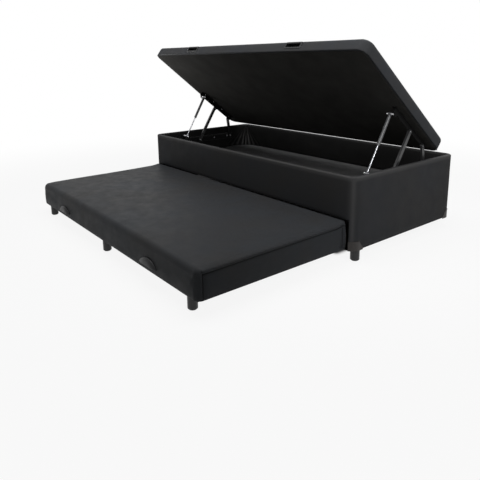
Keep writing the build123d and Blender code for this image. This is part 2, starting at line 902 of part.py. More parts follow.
with BuildPart() as trundle_underside:
    with BuildSketch(Plane.XY.offset(trundle_foot)):
        trundle_outline(trundle_hem)
        with Locations(*trundle_leg_places()):
            Circle(trundle_leg_diameter / 2 + fixed_gap, mode=Mode.SUBTRACT)
    extrude(amount=lining)
save(trundle_underside.part, "trundle_underside")

with BuildPart() as trundle_legs:
    with BuildSketch(Plane.XY.offset(pad_thickness)):
        with Locations(*trundle_leg_places()):
            Circle(trundle_leg_diameter / 2)
    extrude(amount=rail_low - pad_thickness)
    fillet(trundle_legs.edges().group_by(Axis.Z)[0], radius=trundle_leg_round)
save(trundle_legs.part, "trundle_legs")

with BuildPart() as trundle_leg_pads:
    with BuildSketch(Plane.XY):
        with Locations(*trundle_leg_places()):
            Circle(trundle_leg_diameter / 2 - trundle_leg_round - pad_margin)
    extrude(amount=pad_thickness)
save(trundle_leg_pads.part, "trundle_leg_pads")


def half_moon(x, inset):
    """A half-moon dome on the trundle's front face, flat side down."""
    low = trundle_foot + half_moon_lift
    width = half_moon_width - 2 * inset
    height = half_moon_height - inset
    proud = half_moon_proud - inset
    with BuildPart(mode=Mode.PRIVATE) as dome:
        with BuildSketch(Plane.XZ.offset(-tray_front)):
            with BuildLine():
                Line((x - width / 2, low), (x + width / 2, low))
                ThreePointArc(
                    (x - width / 2, low), (x, low + height), (x + width / 2, low))
            make_face()
        extrude(amount=proud)
        front = dome.faces().sort_by(Axis.Y)[0]
        curved = front.edges().filter_by(GeomType.CIRCLE)
        fillet(curved, radius=half_moon_round - inset)
    return dome.part


def trundle_pull(side):
    x = side * half_moon_spacing / 2
    with BuildPart() as pull:
        add(half_moon(x, 0))
        add(half_moon(x, half_moon_wall), mode=Mode.SUBTRACT)
    save(pull.part, f"trundle_{side_names[side]}_pull")


for side in sides:
    trundle_pull(side)

print("lid rear edge open", lid_edge, "front post", front_post, "rear post", rear_post)
print("front link", span(front_post, opened(front_pivot)),
      "rear link", span(rear_post, opened(rear_pivot)))
print("strut open", strut_length, "closed", strut_closed_length)
print("trundle pull out", pull_out)
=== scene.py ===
# %% [markdown]
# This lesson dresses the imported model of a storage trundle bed. It is an upholstered box with a
# lift-up lid, and a low padded bed that slides out from under it. The CAD solids stay as they
# are. Rigid nodes get procedural materials, and soft ones are replaced by shaped fabric.
# Everything is in metres in the model's own frame: +X along the bed, +Y back, +Z up.

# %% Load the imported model
import math

import bmesh
import bpy
from mathutils import Matrix, Vector, noise


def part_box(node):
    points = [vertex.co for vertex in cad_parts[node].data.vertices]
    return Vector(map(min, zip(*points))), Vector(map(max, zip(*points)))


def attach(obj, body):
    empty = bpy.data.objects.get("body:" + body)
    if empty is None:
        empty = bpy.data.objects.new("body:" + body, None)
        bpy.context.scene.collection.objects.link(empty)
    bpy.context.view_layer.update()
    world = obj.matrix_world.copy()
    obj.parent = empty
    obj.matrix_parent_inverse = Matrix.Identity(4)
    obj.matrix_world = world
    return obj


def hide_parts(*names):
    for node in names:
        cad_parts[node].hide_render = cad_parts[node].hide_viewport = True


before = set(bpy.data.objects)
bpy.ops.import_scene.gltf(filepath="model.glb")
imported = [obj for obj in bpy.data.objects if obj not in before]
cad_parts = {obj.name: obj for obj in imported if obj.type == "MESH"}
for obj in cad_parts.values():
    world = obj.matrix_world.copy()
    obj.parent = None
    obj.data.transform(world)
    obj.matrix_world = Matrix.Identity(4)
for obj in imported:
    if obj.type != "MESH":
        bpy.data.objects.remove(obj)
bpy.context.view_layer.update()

# %% [markdown]
# The pieces take their places from the solids that they dress. One millimetre is named once, so
# that every other size reads as a plain number of millimetres.

# %% Sizes read from the model
mm = 0.001
box_low, box_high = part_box("box_cover")
tray_low, tray_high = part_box("trundle_cover")
lid_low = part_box("lid_cover")[0]
wall_low, wall_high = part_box("trunk_lining")
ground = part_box("trunk_floor_cloth")[1][2]
bay_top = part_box("floor_bearers")[0][2]
board_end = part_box("front_board")[1][0]
half_length = box_high[0]
bed_width = box_high[1] - box_low[1]
corner_radius = 50 * mm
print("box", box_low, box_high, "tray", tray_low, tray_high, "bay top", bay_top)

# %% [markdown]
# The lid is tilted about the bed's length. Its pieces are made lying flat, in the lid's own
# frame, with the rear edge at zero and the underside at zero height. One matrix then turns them
# into place, so the finished meshes need no rotation of their own.

# %% The lid's own frame
lid_tilt = math.radians(38.5)
lid_thickness = 65 * mm
lid_rear = Vector((0, lid_low[1] + bed_width * math.cos(lid_tilt), lid_low[2]))
lid_frame = Matrix.Translation(lid_rear) @ Matrix.Rotation(-lid_tilt, 4, "X")
print("lid's rear edge", tuple(lid_rear), "front edge", tuple(lid_frame @ Vector((0, -bed_width, 0))))

# %% [markdown]
# Upholstery over boards is a skin round a rounded rectangle. The skin is made of rings with the
# same number of points, one above the other, and a grid that closes the last ring. That gives
# even four-sided faces, exact columns where an opening starts, and no pole at the corners.


# %% Rings of a rounded rectangle
def spaced(start, end, step):
    """Evenly spaced values from start to end, both left out, about a step apart."""
    count = max(1, round((end - start) / step))
    return [start + (end - start) * number / count for number in range(1, count)]


def with_ends(start, end, step):
    """Evenly spaced values from start to end, with both of them."""
    return [start] + spaced(start, end, step) + [end]


def ring_points(block, height, columns, rows, turns):
    """One ring: block is (half length, front, rear, corner radius), turns are corner angles."""
    half, front, rear, radius = block
    left, right = radius - half, half - radius
    near, far = front + radius, rear - radius
    sines = [(math.sin(turn), math.cos(turn)) for turn in turns]
    back_sines = sines[::-1]
    ring = [(left - radius * s, near - radius * c) for s, c in back_sines]
    ring += [(x, front) for x in columns]
    ring += [(right + radius * s, near - radius * c) for s, c in sines]
    ring += [(right + radius * c, near - radius * s) for s, c in back_sines][1:]
    ring += [(half, y) for y in rows]
    ring += [(right + radius * c, far + radius * s) for s, c in sines]
    ring += [(right + radius * s, far + radius * c) for s, c in back_sines][1:]
    ring += [(x, rear) for x in reversed(columns)]
    ring += [(left - radius * s, far + radius * c) for s, c in sines]
    ring += [(left - radius * c, far + radius * s) for s, c in back_sines][1:]
    ring += [(-half, y) for y in reversed(rows)]
    ring += [(left - radius * c, near - radius * s) for s, c in sines][:-1]
    return [Vector((x, y, height)) for x, y in ring]


def ring_sides(columns, rows, turns):
    """How many steps a ring has along its long side and along its short side."""
    return 2 * len(turns) - 1 + len(columns), 2 * len(turns) - 1 + len(rows)


def inside_share(x, y, block, reach):
    """Nought at a rectangle's edge and one from a reach inside it; block is (half, front, rear)."""
    half, front, rear = block
    return max(0, min(1, (half - abs(x)) / reach, (y - front) / reach, (rear - y) / reach))


# %% Skin between rings, and the grid that closes one
def skin_faces(first, count, rings):
    """Faces between rings whose points are numbered one ring after another."""
    faces = []
    for level in range(rings - 1):
        low = first + level * count
        for step in range(count):
            after = (step + 1) % count
            faces.append((low + step, low + after, low + count + after, low + count + step))
    return faces


def close_ring(points, ring, across, along, height):
    """Fill a ring of point numbers with a grid, at a height given for each place."""
    front = ring[:across + 1]
    right = ring[across:across + along + 1]
    back = ring[across + along:2 * across + along + 1][::-1]
    left = (ring[2 * across + along:] + ring[:1])[::-1]
    first, last = points[front[0]], points[front[-1]]
    low_end, high_end = points[left[0]], points[left[-1]]
    grid = [[None] * (along + 1) for _ in range(across + 1)]
    for step in range(across + 1):
        grid[step][0], grid[step][along] = front[step], back[step]
    for step in range(along + 1):
        grid[0][step], grid[across][step] = left[step], right[step]
    for i in range(1, across):
        u = (points[front[i]].x - first.x) / (last.x - first.x)
        for j in range(1, along):
            v = (points[left[j]].y - low_end.y) / (high_end.y - low_end.y)
            place = (points[front[i]] * (1 - v) + points[back[i]] * v
                     + points[left[j]] * (1 - u) + points[right[j]] * u
                     - points[front[0]] * (1 - u) * (1 - v) - points[front[-1]] * u * (1 - v)
                     - points[back[0]] * (1 - u) * v - points[back[-1]] * u * v)
            grid[i][j] = len(points)
            points.append(Vector((place.x, place.y, height(place.x, place.y))))
    return [(grid[i][j], grid[i + 1][j], grid[i + 1][j + 1], grid[i][j + 1])
            for i in range(across) for j in range(along)]


def close_skin(points, count, columns, rows, turns, height):
    """Fill the last ring of a skin whose rings have count points each."""
    last_ring = list(range(len(points) - count, len(points)))
    return close_ring(points, last_ring, *ring_sides(columns, rows, turns), height)


# %% From points to a finished piece
sharp_fold = math.radians(50)
metal_fold = math.radians(35)


def place_piece(mesh, body, fold):
    """A smooth object with its mesh's name, which rides on a body."""
    mesh.shade_smooth()
    mesh.set_sharp_from_angle(angle=fold)
    piece = bpy.data.objects.new(mesh.name, mesh)
    bpy.context.scene.collection.objects.link(piece)
    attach(piece, body)
    print(piece.name, len(mesh.vertices), "points", len(mesh.polygons), "faces")
    return piece


def make_piece(name, points, faces, body, material, turned=None):
    """A skin from points and faces, which rides on a body and takes one slot's finish."""
    mesh = bpy.data.meshes.new(name)
    mesh.from_pydata([tuple(point) for point in points], [], faces)
    if turned is not None:
        mesh.transform(turned)
    mesh.materials.append(material)
    return place_piece(mesh, body, sharp_fold)


def mark(piece, name, values):
    """Store a number for each point, which a material reads by its name."""
    stored = piece.data.attributes.new(name, "FLOAT", "POINT")
    stored.data.foreach_set("value", values)


def settle(piece, held, caps, pressure):
    """Run Blender's cloth on a piece, cap each point's move, and keep a plain mesh."""
    group = piece.vertex_groups.new(name="held")
    for number, weight in enumerate(held):
        if weight:
            group.add([number], weight, "REPLACE")
    cloth = piece.modifiers.new("cloth", "CLOTH")
    cloth.settings.quality = 4
    cloth.settings.mass = 0.5
    cloth.settings.tension_stiffness = 12
    cloth.settings.compression_stiffness = 8
    cloth.settings.bending_stiffness = 1.5
    cloth.settings.vertex_group_mass = "held"
    cloth.settings.use_pressure = True
    cloth.settings.uniform_pressure_force = pressure
    cloth.settings.shrink_min = -0.004
    cloth.settings.effector_weights.gravity = 0
    cloth.collision_settings.use_collision = False
    scene = bpy.context.scene
    for number in range(scene.frame_start, scene.frame_start + 14):
        scene.frame_set(number)
    moved = piece.evaluated_get(bpy.context.evaluated_depsgraph_get()).to_mesh()
    largest = 0
    for point, after, cap in zip(piece.data.vertices, moved.vertices, caps):
        move = after.co - point.co
        largest = max(largest, move.length)
        point.co += move * min(1, cap / max(move.length, cap / 100))
    piece.modifiers.remove(cloth)
    piece.vertex_groups.remove(group)
    scene.frame_set(scene.frame_start)
    print(piece.name, "settled, largest free move", round(largest / mm, 1), "mm")


def thicken(piece, thickness):
    """Give a skin its cloth thickness towards the inside."""
    wall = piece.modifiers.new("cloth thickness", "SOLIDIFY")
    wall.thickness = thickness
    wall.offset = -1
    wall.use_even_offset = False


def bump_of(value, middle, width):
    """A smooth hump of height one round a middle value."""
    return math.exp(-((value - middle) / width) ** 2)


def ripple(x, y, z, size):
    """Smooth noise between about minus one and one, with waves of the given size."""
    return noise.noise(Vector((x, y, z)) / size)

# %% [markdown]
# Every finish is a small node tree. The pattern reads Object coordinates, which are metres here,
# so a scale of 500 gives details two millimetres apart. The helpers place a texture, spread its
# value between two numbers, mix two colours by it and let the gloss drift with it.


# %% Helpers for materials
def new_finish(name, roughness, metallic=0.0, specular=0.5):
    """A material with its own surface shader; returns the material and the shader."""
    material = bpy.data.materials.new(name)
    material.use_nodes = True
    shader = material.node_tree.nodes["Principled BSDF"]
    shader.inputs["Roughness"].default_value = roughness
    shader.inputs["Metallic"].default_value = metallic
    shader.inputs["Specular IOR Level"].default_value = specular
    return material, shader


def texture(shader, kind, scale, stretch=(1, 1, 1), **settings):
    """A texture on Object coordinates, stretched along the axes; returns the node."""
    tree = shader.id_data
    place = tree.nodes.new("ShaderNodeTexCoord")
    mapping = tree.nodes.new("ShaderNodeMapping")
    mapping.inputs["Scale"].default_value = stretch
    node = tree.nodes.new(kind)
    node.inputs["Scale"].default_value = scale
    for socket, value in settings.items():
        node.inputs[socket.replace("_", " ")].default_value = value
    tree.links.new(place.outputs["Object"], mapping.inputs["Vector"])
    tree.links.new(mapping.outputs["Vector"], node.inputs["Vector"])
    return node


def map_range(tree, value, start, end, low, high, smooth=False):
    """Map a value from start..end to low..high, evenly or with soft ends."""
    node = tree.nodes.new("ShaderNodeMapRange")
    if smooth:
        node.interpolation_type = "SMOOTHSTEP"
    for socket, number in zip(("From Min", "From Max", "To Min", "To Max"), (start, end, low, high)):
        node.inputs[socket].default_value = number
    tree.links.new(value, node.inputs["Value"])
    return node.outputs["Result"]


def spread(shader, node, start, end, low=0.0, high=1.0):
    """Map a noise's value from start..end to low..high."""
    return map_range(shader.id_data, node.outputs["Fac"], start, end, low, high)


def mixed(shader, share, first, second):
    """A colour between two, by a share from nought to one; the first may be a socket."""
    tree = shader.id_data
    node = tree.nodes.new("ShaderNodeMix")
    node.data_type = "RGBA"
    if isinstance(first, bpy.types.NodeSocket):
        tree.links.new(first, node.inputs["A"])
    else:
        node.inputs["A"].default_value = (*first, 1)
    node.inputs["B"].default_value = (*second, 1)
    tree.links.new(share, node.inputs["Factor"])
    return node.outputs["Result"]


def put(shader, value, socket):
    shader.id_data.links.new(value, shader.inputs[socket])


def toned(shader, share, colour, darkest):
    """The surface's colour, falling in places to a darker share of itself."""
    put(shader, mixed(shader, share, [darkest * part for part in colour], colour), "Base Color")


def glossed(shader, node, roughness, less, more):
    """A roughness that drifts round its plain value with a noise."""
    put(shader, spread(shader, node, 0.3, 0.7, roughness - less, roughness + more), "Roughness")


def bumps(shader, *layers):
    """Stack bump layers, each (value, strength, depth in metres), on the shader's normal."""
    tree = shader.id_data
    below = None
    for value, strength, depth in layers:
        node = tree.nodes.new("ShaderNodeBump")
        node.inputs["Strength"].default_value = strength
        node.inputs["Distance"].default_value = depth
        tree.links.new(value, node.inputs["Height"])
        if below is not None:
            tree.links.new(below, node.inputs["Normal"])
        below = node.outputs["Normal"]
    put(shader, below, "Normal")


# %% [markdown]
# The cover is black coated cloth, which has a fine pebbled grain and a soft, low sheen. Its
# colour drifts between a neutral and a slightly blue black over a hand's width. A seam has painted
# shade in its colour, as little light reaches its bottom, and the box's rim and upright corners have
# a painted highlight, where their rounding catches the light. Each skin stores how near a point is
# to either. The grain is a Voronoi pattern about a millimetre across, and slow noise gives the
# gentle waves of cloth that is drawn over padding.


# %% Upholstery
# seam_shade darkens seams and pleat bottoms as painted shade; the gain after it lightens marked rims,
# corners and pleat ridges as a painted highlight.
seam_shade = 0.2
highlight_gain = 2.6


def stored_mix(shader, colour, name, other):
    """Turn a colour towards another where a stored number says so."""
    stored = shader.id_data.nodes.new("ShaderNodeAttribute")
    stored.attribute_name = name
    return mixed(shader, stored.outputs["Fac"], colour, other)


def painted_highlight_and_shade(shader, colour, plain, gain):
    """A colour lightened by a painted highlight and darkened by painted shade, where a piece marks them.
    """
    colour = stored_mix(shader, colour, "worn", [gain * part for part in plain])
    colour = stored_mix(shader, colour, "seam", [seam_shade * part for part in plain])
    put(shader, colour, "Base Color")


def upholstery(name, warm, cool, roughness):
    material, shader = new_finish(name, roughness, specular=0.045)
    patches = texture(shader, "ShaderNodeTexNoise", 3.4, Detail=3.0, Roughness=0.55)
    painted_highlight_and_shade(shader, mixed(shader, spread(shader, patches, 0.36, 0.64), warm, cool), warm, highlight_gain)
    wear = texture(shader, "ShaderNodeTexNoise", 14.0, Detail=4.0, Roughness=0.6)
    glossed(shader, wear, roughness, 0.07, 0.08)
    grain = texture(shader, "ShaderNodeTexVoronoi", 850.0)
    pull = texture(shader, "ShaderNodeTexNoise", 26.0, Detail=2.0, Roughness=0.5)
    bumps(shader, (pull.outputs["Fac"], 0.3, 0.9 * mm), (grain.outputs["Distance"], 0.22, 0.16 * mm))
    return material


box_cloth = upholstery("box upholstery", (0.0305, 0.03, 0.03), (0.029, 0.03, 0.0325), 0.55)
lid_cloth = upholstery("lid upholstery", (0.032, 0.032, 0.0325), (0.03, 0.032, 0.0355), 0.52)
tray_cloth = upholstery("trundle upholstery", (0.032, 0.032, 0.0325), (0.0305, 0.0325, 0.0355), 0.5)

# %% [markdown]
# The linings are thin nonwoven cloth: matte, a little lighter where fibres lie thick, and with a
# fine random nap. The ridge of a pleat has a painted highlight, and the bottom of a pleat has
# painted shade. The same tree serves all the linings.


# %% Lining cloth
# How much lighter a pleat's ridge is painted, as a painted highlight.
ridge_highlight_gain = 8.0


def nonwoven(name, colour, lighter, roughness=0.9, specular=0.02):
    material, shader = new_finish(name, roughness, specular=specular)
    fibres = texture(shader, "ShaderNodeTexNoise", 620.0, Detail=5.0, Roughness=0.75)
    clouds = texture(shader, "ShaderNodeTexNoise", 9.0, Detail=3.0)
    base = mixed(shader, spread(shader, clouds, 0.35, 0.65), colour, lighter)
    painted_highlight_and_shade(shader, base, colour, ridge_highlight_gain)
    bumps(shader, (fibres.outputs["Fac"], 0.35, 0.22 * mm))
    return material


wall_cloth = nonwoven("trunk lining", (0.0125, 0.0124, 0.0122), (0.0155, 0.0154, 0.0152), 0.62, 0.03)
ground_cloth = nonwoven("trunk floor cloth", (0.075, 0.0753, 0.076), (0.088, 0.0883, 0.089))
under_cloth = nonwoven("lid lining", (0.034, 0.033, 0.031), (0.042, 0.0408, 0.0384))
dust_cloth = nonwoven("trundle dust cloth", (0.012, 0.012, 0.012), (0.015, 0.015, 0.015))

# %% [markdown]
# Moulded plastic shows a fine spark-eroded texture from its mould and small changes of gloss.
# Painted steel is smoother, with the slight orange peel of powder coat. Bright steel is metallic
# with faint turning or drawing marks along one axis.


# %% Plastics and metals
def moulded(name, colour, roughness, specular=0.4):
    material, shader = new_finish(name, roughness, specular=specular)
    tone = texture(shader, "ShaderNodeTexNoise", 30.0, Detail=3.0)
    toned(shader, spread(shader, tone, 0.35, 0.65), colour, 0.82)
    glossed(shader, tone, roughness, 0.05, 0.06)
    spark = texture(shader, "ShaderNodeTexNoise", 1500.0, Detail=2.0)
    bumps(shader, (spark.outputs["Fac"], 0.2, 0.08 * mm))
    return material


def coated_steel(name, colour, roughness, specular=0.5):
    material, shader = new_finish(name, roughness, specular=specular)
    tone = texture(shader, "ShaderNodeTexNoise", 40.0, Detail=3.0)
    toned(shader, spread(shader, tone, 0.35, 0.65), colour, 0.8)
    peel = texture(shader, "ShaderNodeTexNoise", 420.0, Detail=1.0)
    bumps(shader, (peel.outputs["Fac"], 0.18, 0.1 * mm))
    return material


def bright_metal(name, colour, roughness, stretch, scale):
    material, shader = new_finish(name, roughness, metallic=1.0)
    marks = texture(shader, "ShaderNodeTexNoise", scale, stretch=stretch, Detail=3.0)
    toned(shader, spread(shader, marks, 0.3, 0.7), colour, 0.78)
    glossed(shader, marks, roughness, 0.06, 0.08)
    bumps(shader, (marks.outputs["Fac"], 0.1, 0.05 * mm))
    return material


guard_plastic = moulded("guard plastic", (0.034, 0.03, 0.028), 0.48, specular=0.3)
leg_plastic = moulded("leg plastic", (0.014, 0.014, 0.0145), 0.42)
pull_plastic = moulded("pull plastic", (0.0078, 0.008, 0.009), 0.38, specular=0.2)
rail_paint = coated_steel("rail powder coat", (0.005, 0.005, 0.005), 0.6, specular=0.12)
link_paint = coated_steel("link powder coat", (0.03, 0.03, 0.031), 0.3)
tube_paint = coated_steel("strut tube paint", (0.095, 0.096, 0.1), 0.3, specular=0.35)
zinc = bright_metal("zinc plating", (0.72, 0.72, 0.74), 0.3, (1, 1, 1), 300.0)
polished_rod = bright_metal("polished rod", (0.28, 0.285, 0.3), 0.2, (1, 1, 1), 900.0)

# %% [markdown]
# The boards are only seen from below and inside the bay. Sawn pine has growth rings drawn out
# along the board, so the noise is stretched along X or along Y. Thin plywood is the same wood
# with a broader, calmer figure.


# %% Wood
def wood(name, light, dark, stretch, scale):
    material, shader = new_finish(name, 0.62, specular=0.35)
    rings = texture(shader, "ShaderNodeTexNoise", scale, stretch=stretch, Detail=6.0, Roughness=0.62)
    put(shader, mixed(shader, spread(shader, rings, 0.38, 0.66), light, dark), "Base Color")
    pores = texture(shader, "ShaderNodeTexNoise", scale * 14, stretch=stretch, Detail=2.0)
    bumps(shader, (rings.outputs["Fac"], 0.25, 0.3 * mm), (pores.outputs["Fac"], 0.2, 0.15 * mm))
    return material


pine_along = wood("pine along the bed", (0.55, 0.37, 0.2), (0.36, 0.21, 0.1), (0.06, 1, 1), 60.0)
pine_across = wood("pine across the bed", (0.57, 0.39, 0.21), (0.38, 0.22, 0.1), (1, 0.06, 1), 60.0)
plywood = wood("plywood", (0.5, 0.35, 0.2), (0.4, 0.26, 0.14), (0.1, 1, 1), 18.0)
stained_pine = wood("stained pine", (0.009, 0.009, 0.009), (0.004, 0.004, 0.004), (1, 0.06, 1), 60.0)
print(len(bpy.data.materials), "materials")

# %% [markdown]
# The trundle's cover is padded cloth pulled over a frame. The top and the front border are one
# width of cloth that rolls over the front edge. Each end is a panel of its own, sewn on along
# the top edge and down each corner. The seam pulls the padding in, so the top swells above it.
# The rear edge stays in the box, so it is squarer than the front and fills the opening.
# The skin is built ring by ring, and each point knows how far it is from the seams.

# %% Sizes of the trundle's skin
tray_half = tray_high[0]
tray_mid = (tray_low[1] + tray_high[1]) / 2
tray_half_width = (tray_high[1] - tray_low[1]) / 2
tray_foot = tray_low[2]
tray_corner = 30 * mm
tray_round = 24 * mm
crown_along = 5 * mm
crown_across = 5 * mm
hem_turn = 9 * mm
lower_round = 6 * mm
side_belly = 2.5 * mm
seam_depth = 5.5 * mm
seam_width = 3.0 * mm
seam_swell = 5 * mm
pinch_depth = 5 * mm
pinch_width = 8 * mm
top_cap = 2 * mm
side_cap = 1.5 * mm
rear_fall = 0.15
rear_calm = 0.7
rear_rise_start, rear_rise_end = 0.82, 0.94
rear_top = bay_top - 2.4 * mm
square_power = 8


def tray_crown(x, y):
    """Height of the trundle's top: it falls towards the ends and the front, and rises at the rear."""
    across_share = (y - tray_mid) / tray_half_width
    fall = crown_along * (x / tray_half) ** 2 * (1 - rear_calm * max(0, across_share))
    fall += crown_across * across_share ** 2 * (1 if across_share < 0 else rear_fall)
    calm = 1.2 * mm * ripple(x, y, 0.3, 0.42) + 0.6 * mm * ripple(x, y, 4.1, 0.17)
    top = tray_high[2] - 1 * mm - fall + calm
    rise = (across_share - rear_rise_start) / (rear_rise_end - rear_rise_start)
    rise = min(1, max(0, rise))
    return top + (rear_top - top) * rise ** 2


# %% Columns of the trundle's skin, and how far each is from the nearest corner seam
tray_step = 20 * mm
tray_straight = tray_half - tray_corner
tray_straight_width = tray_half_width - tray_corner
tray_columns = spaced(-tray_straight, tray_straight, tray_step)
tray_rows = spaced(tray_mid - tray_straight_width, tray_mid + tray_straight_width, tray_step)
corner_turns = [math.radians(turn) for turn in (0, 3, 6, 9, 13, 18, 24, 30, 37, 45)]
seam_turn = corner_turns[2]


def squarer(turn):
    """How much further a squared edge stands out than a round one, at a turn from its start."""
    total = abs(math.cos(turn)) ** square_power + abs(math.sin(turn)) ** square_power
    return total ** (-1 / square_power) - 1


def tray_ring(inset):
    block = (tray_half - inset, tray_mid - tray_half_width + inset,
             tray_mid + tray_half_width - inset, tray_corner - inset)
    ring = ring_points(block, 0, tray_columns, tray_rows, corner_turns)
    for place in ring:
        beyond = place.y - tray_mid - tray_straight_width
        if abs(place.x) > tray_straight and beyond > 0:
            centre = Vector((math.copysign(tray_straight, place.x), place.y - beyond, 0))
            spoke = place - centre
            place += spoke * squarer(math.atan2(abs(spoke.y), abs(spoke.x)))
    return ring


outer = tray_ring(0)
inner = tray_ring(10 * mm)
outward = [(out - into).normalized() for out, into in zip(outer, inner)]
seam_x = tray_half - tray_corner * (1 - math.cos(seam_turn))
seam_y = tray_half_width - tray_corner * (1 - math.sin(seam_turn))
corner_seams = [Vector((side * seam_x, tray_mid + end * seam_y, 0))
                for side in (-1, 1) for end in (-1, 1)]


def seam_gap(place):
    """Distance along the outline from a place to the nearest corner seam, as the crow flies."""
    return min((place - seam).length for seam in corner_seams)


on_end = [1.0 if abs(place.x) > seam_x - 0.1 * mm else 0.0 for place in outer]
print(len(outer), "columns, of which", int(sum(on_end)), "on the ends")

# %% Levels of the trundle's skin
belt = 20 * mm
under_levels = [(hem_turn, 1 * mm), (lower_round, 0)]
under_levels += [(lower_round * (1 - math.sin(turn)), lower_round * (1 - math.cos(turn)))
                 for turn in (math.pi / 6, math.pi / 3, math.pi / 2)]
side_shares = [number / 8 for number in range(1, 9)]
seam_levels = [level * mm for level in (-14, -9, -5.5, -3, -1.4, 0, 1.4, 3, 5.5, 9, 13, 18, 24, 30)]
seam_levels.append(tray_round * math.pi / 2)


def seam_pull(level, gap, end):
    """How far the seams push a point out or in, along the skin's normal."""
    shift = end * (seam_swell * bump_of(level, 10 * mm, 8 * mm)
                   - seam_depth * bump_of(level, 0, seam_width))
    if level < 0:
        shift -= (1 - end / 2) * seam_depth * bump_of(gap, 0, seam_width)
        shift += 0.8 * mm * bump_of(gap, 9 * mm, 6 * mm)
    return shift - pinch_depth * bump_of(math.hypot(level, gap), 0, pinch_width)


def seam_near(level, gap, end):
    """One on a seam, falling to nought within a few millimetres."""
    return max(end * bump_of(level, 0, 2.2 * mm), bump_of(gap, 0, 2.2 * mm) if level < 0 else 0.0)


points = []
seams = []
for inset, rise in under_levels:
    points += [Vector((place.x, place.y, tray_foot + rise)) for place in tray_ring(inset)]
seams += [0.0] * len(points)
gaps = [seam_gap(place) for place in outer]
for share in side_shares:
    for place, out, gap, end in zip(outer, outward, gaps, on_end):
        top = tray_crown(place.x, place.y) - tray_round - belt
        low = tray_foot + lower_round
        puff = side_belly * math.sin(math.pi * share * 0.8) + seam_pull(-belt, gap, end)
        puff += 0.6 * mm * ripple(place.x, place.y, share, 0.13)
        points.append(place + out * puff + Vector((0, 0, low + (top - low) * share)))
        seams.append(seam_near(-belt, gap, end))
for level in seam_levels:
    turn = max(0, level) / tray_round
    for place, out, gap, end in zip(tray_ring(tray_round * (1 - math.cos(turn))), outward, gaps, on_end):
        height = tray_crown(place.x, place.y) - tray_round + tray_round * math.sin(turn) + min(0, level)
        normal = out * math.cos(turn) + Vector((0, 0, math.sin(turn)))
        puff = seam_pull(level, gap, end) + tray_round * squarer(turn) * max(0, out.y)
        if level <= 0:
            puff += side_belly * math.sin(math.pi * 0.8) * bump_of(level, -belt, belt)
        points.append(place + Vector((0, 0, height)) + normal * puff)
        seams.append(seam_near(level, gap, end))
levels = len(under_levels) + len(side_shares) + len(seam_levels)
faces = skin_faces(0, len(outer), levels)
faces += close_skin(points, len(outer), tray_columns, tray_rows, corner_turns, tray_crown)
tray_cover = make_piece("trundle_upholstery", points, faces, "trundle", tray_cloth)
seams += [0.0] * (len(points) - len(seams))
# The seam mark paints shade into the cover's colour along the seams.
mark(tray_cover, "seam", seams)

# %% [markdown]
# So far the skin is drawn, not sewn. A short cloth simulation lets it behave: the hem and the
# seams are held, a light pressure stands for the padding, and the rest finds its own tension.
# The move of each point is capped, so that the trundle keeps its size.

# %% Let the trundle's cloth settle
fixed_levels = len(under_levels) + 1
held = [1.0 if number < fixed_levels * len(outer) else 0.0 for number in range(len(points))]
for number, near in enumerate(seams):
    if near > 0.5:
        held[number] = 1.0
loose = [top_cap if point.z > tray_high[2] - tray_round - crown_along - crown_across else side_cap
         for point in points]
settle(tray_cover, held, loose, pressure=2.0)
thicken(tray_cover, 2.4 * mm)
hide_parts("trundle_cover", "trundle_pad")

# %% [markdown]
# Under the trundle a thin dust cloth is stapled to the frame. It hangs a few millimetres between
# the slats, and the legs come through it, so it is a grid with a soft sag and no sag at its rim.

# %% The trundle's dust cloth
dust_half = tray_half - hem_turn + 1 * mm
dust_half_width = tray_half_width - hem_turn + 1 * mm
dust_front, dust_rear = tray_mid - dust_half_width, tray_mid + dust_half_width
dust_sag = 1.6 * mm


def flat_cloth(columns, rows, height, upward):
    """A grid of cloth over columns and rows, at a height given for each place."""
    points = [Vector((x, y, height(x, y))) for x in columns for y in rows]
    faces = []
    for i in range(len(columns) - 1):
        for j in range(len(rows) - 1):
            first = i * len(rows) + j
            quad = (first, first + len(rows), first + len(rows) + 1, first + 1)
            faces.append(quad if upward else quad[::-1])
    return points, faces


def dust_height(x, y):
    inside = inside_share(x, y, (dust_half, dust_front, dust_rear), 60 * mm)
    drape = 0.5 + 0.5 * ripple(x, y, 2.2, 0.16)
    return tray_foot + 1.2 * mm - dust_sag * inside * drape


cloth_step = 22 * mm
dust_columns = with_ends(-dust_half, dust_half, cloth_step)
dust_rows = with_ends(dust_front, dust_rear, cloth_step)
points, faces = flat_cloth(dust_columns, dust_rows, dust_height, False)
dust_cover = make_piece("trundle_dust_cloth", points, faces, "trundle", dust_cloth)
thicken(dust_cover, 0.8 * mm)
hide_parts("trundle_underside")

# %% [markdown]
# The trundle is drawn out by two half-moon pulls on its front. Each is a thin moulded dome, open
# at its flat lower side for the fingers. One rule gives the whole form, so it is made of rays that
# leave the middle of the flat side: each ray ends on the arc, and the dome falls to the cloth
# there. The dome is flat in the middle and round at the arc, which catches a band of light.

# %% Half-moon pulls
dome_proud = 16 * mm
dome_rise_share = 0.7
dome_wall = 2.4 * mm
dome_rays = 40
dome_shares = [0.12, 0.28, 0.44, 0.58, 0.7, 0.79, 0.86, 0.91, 0.95, 0.98, 1.0]


def dome_depth(share):
    """How far the dome stands out, from its middle at nought to the arc at one."""
    return dome_proud * (1 - share ** 4) ** 0.5


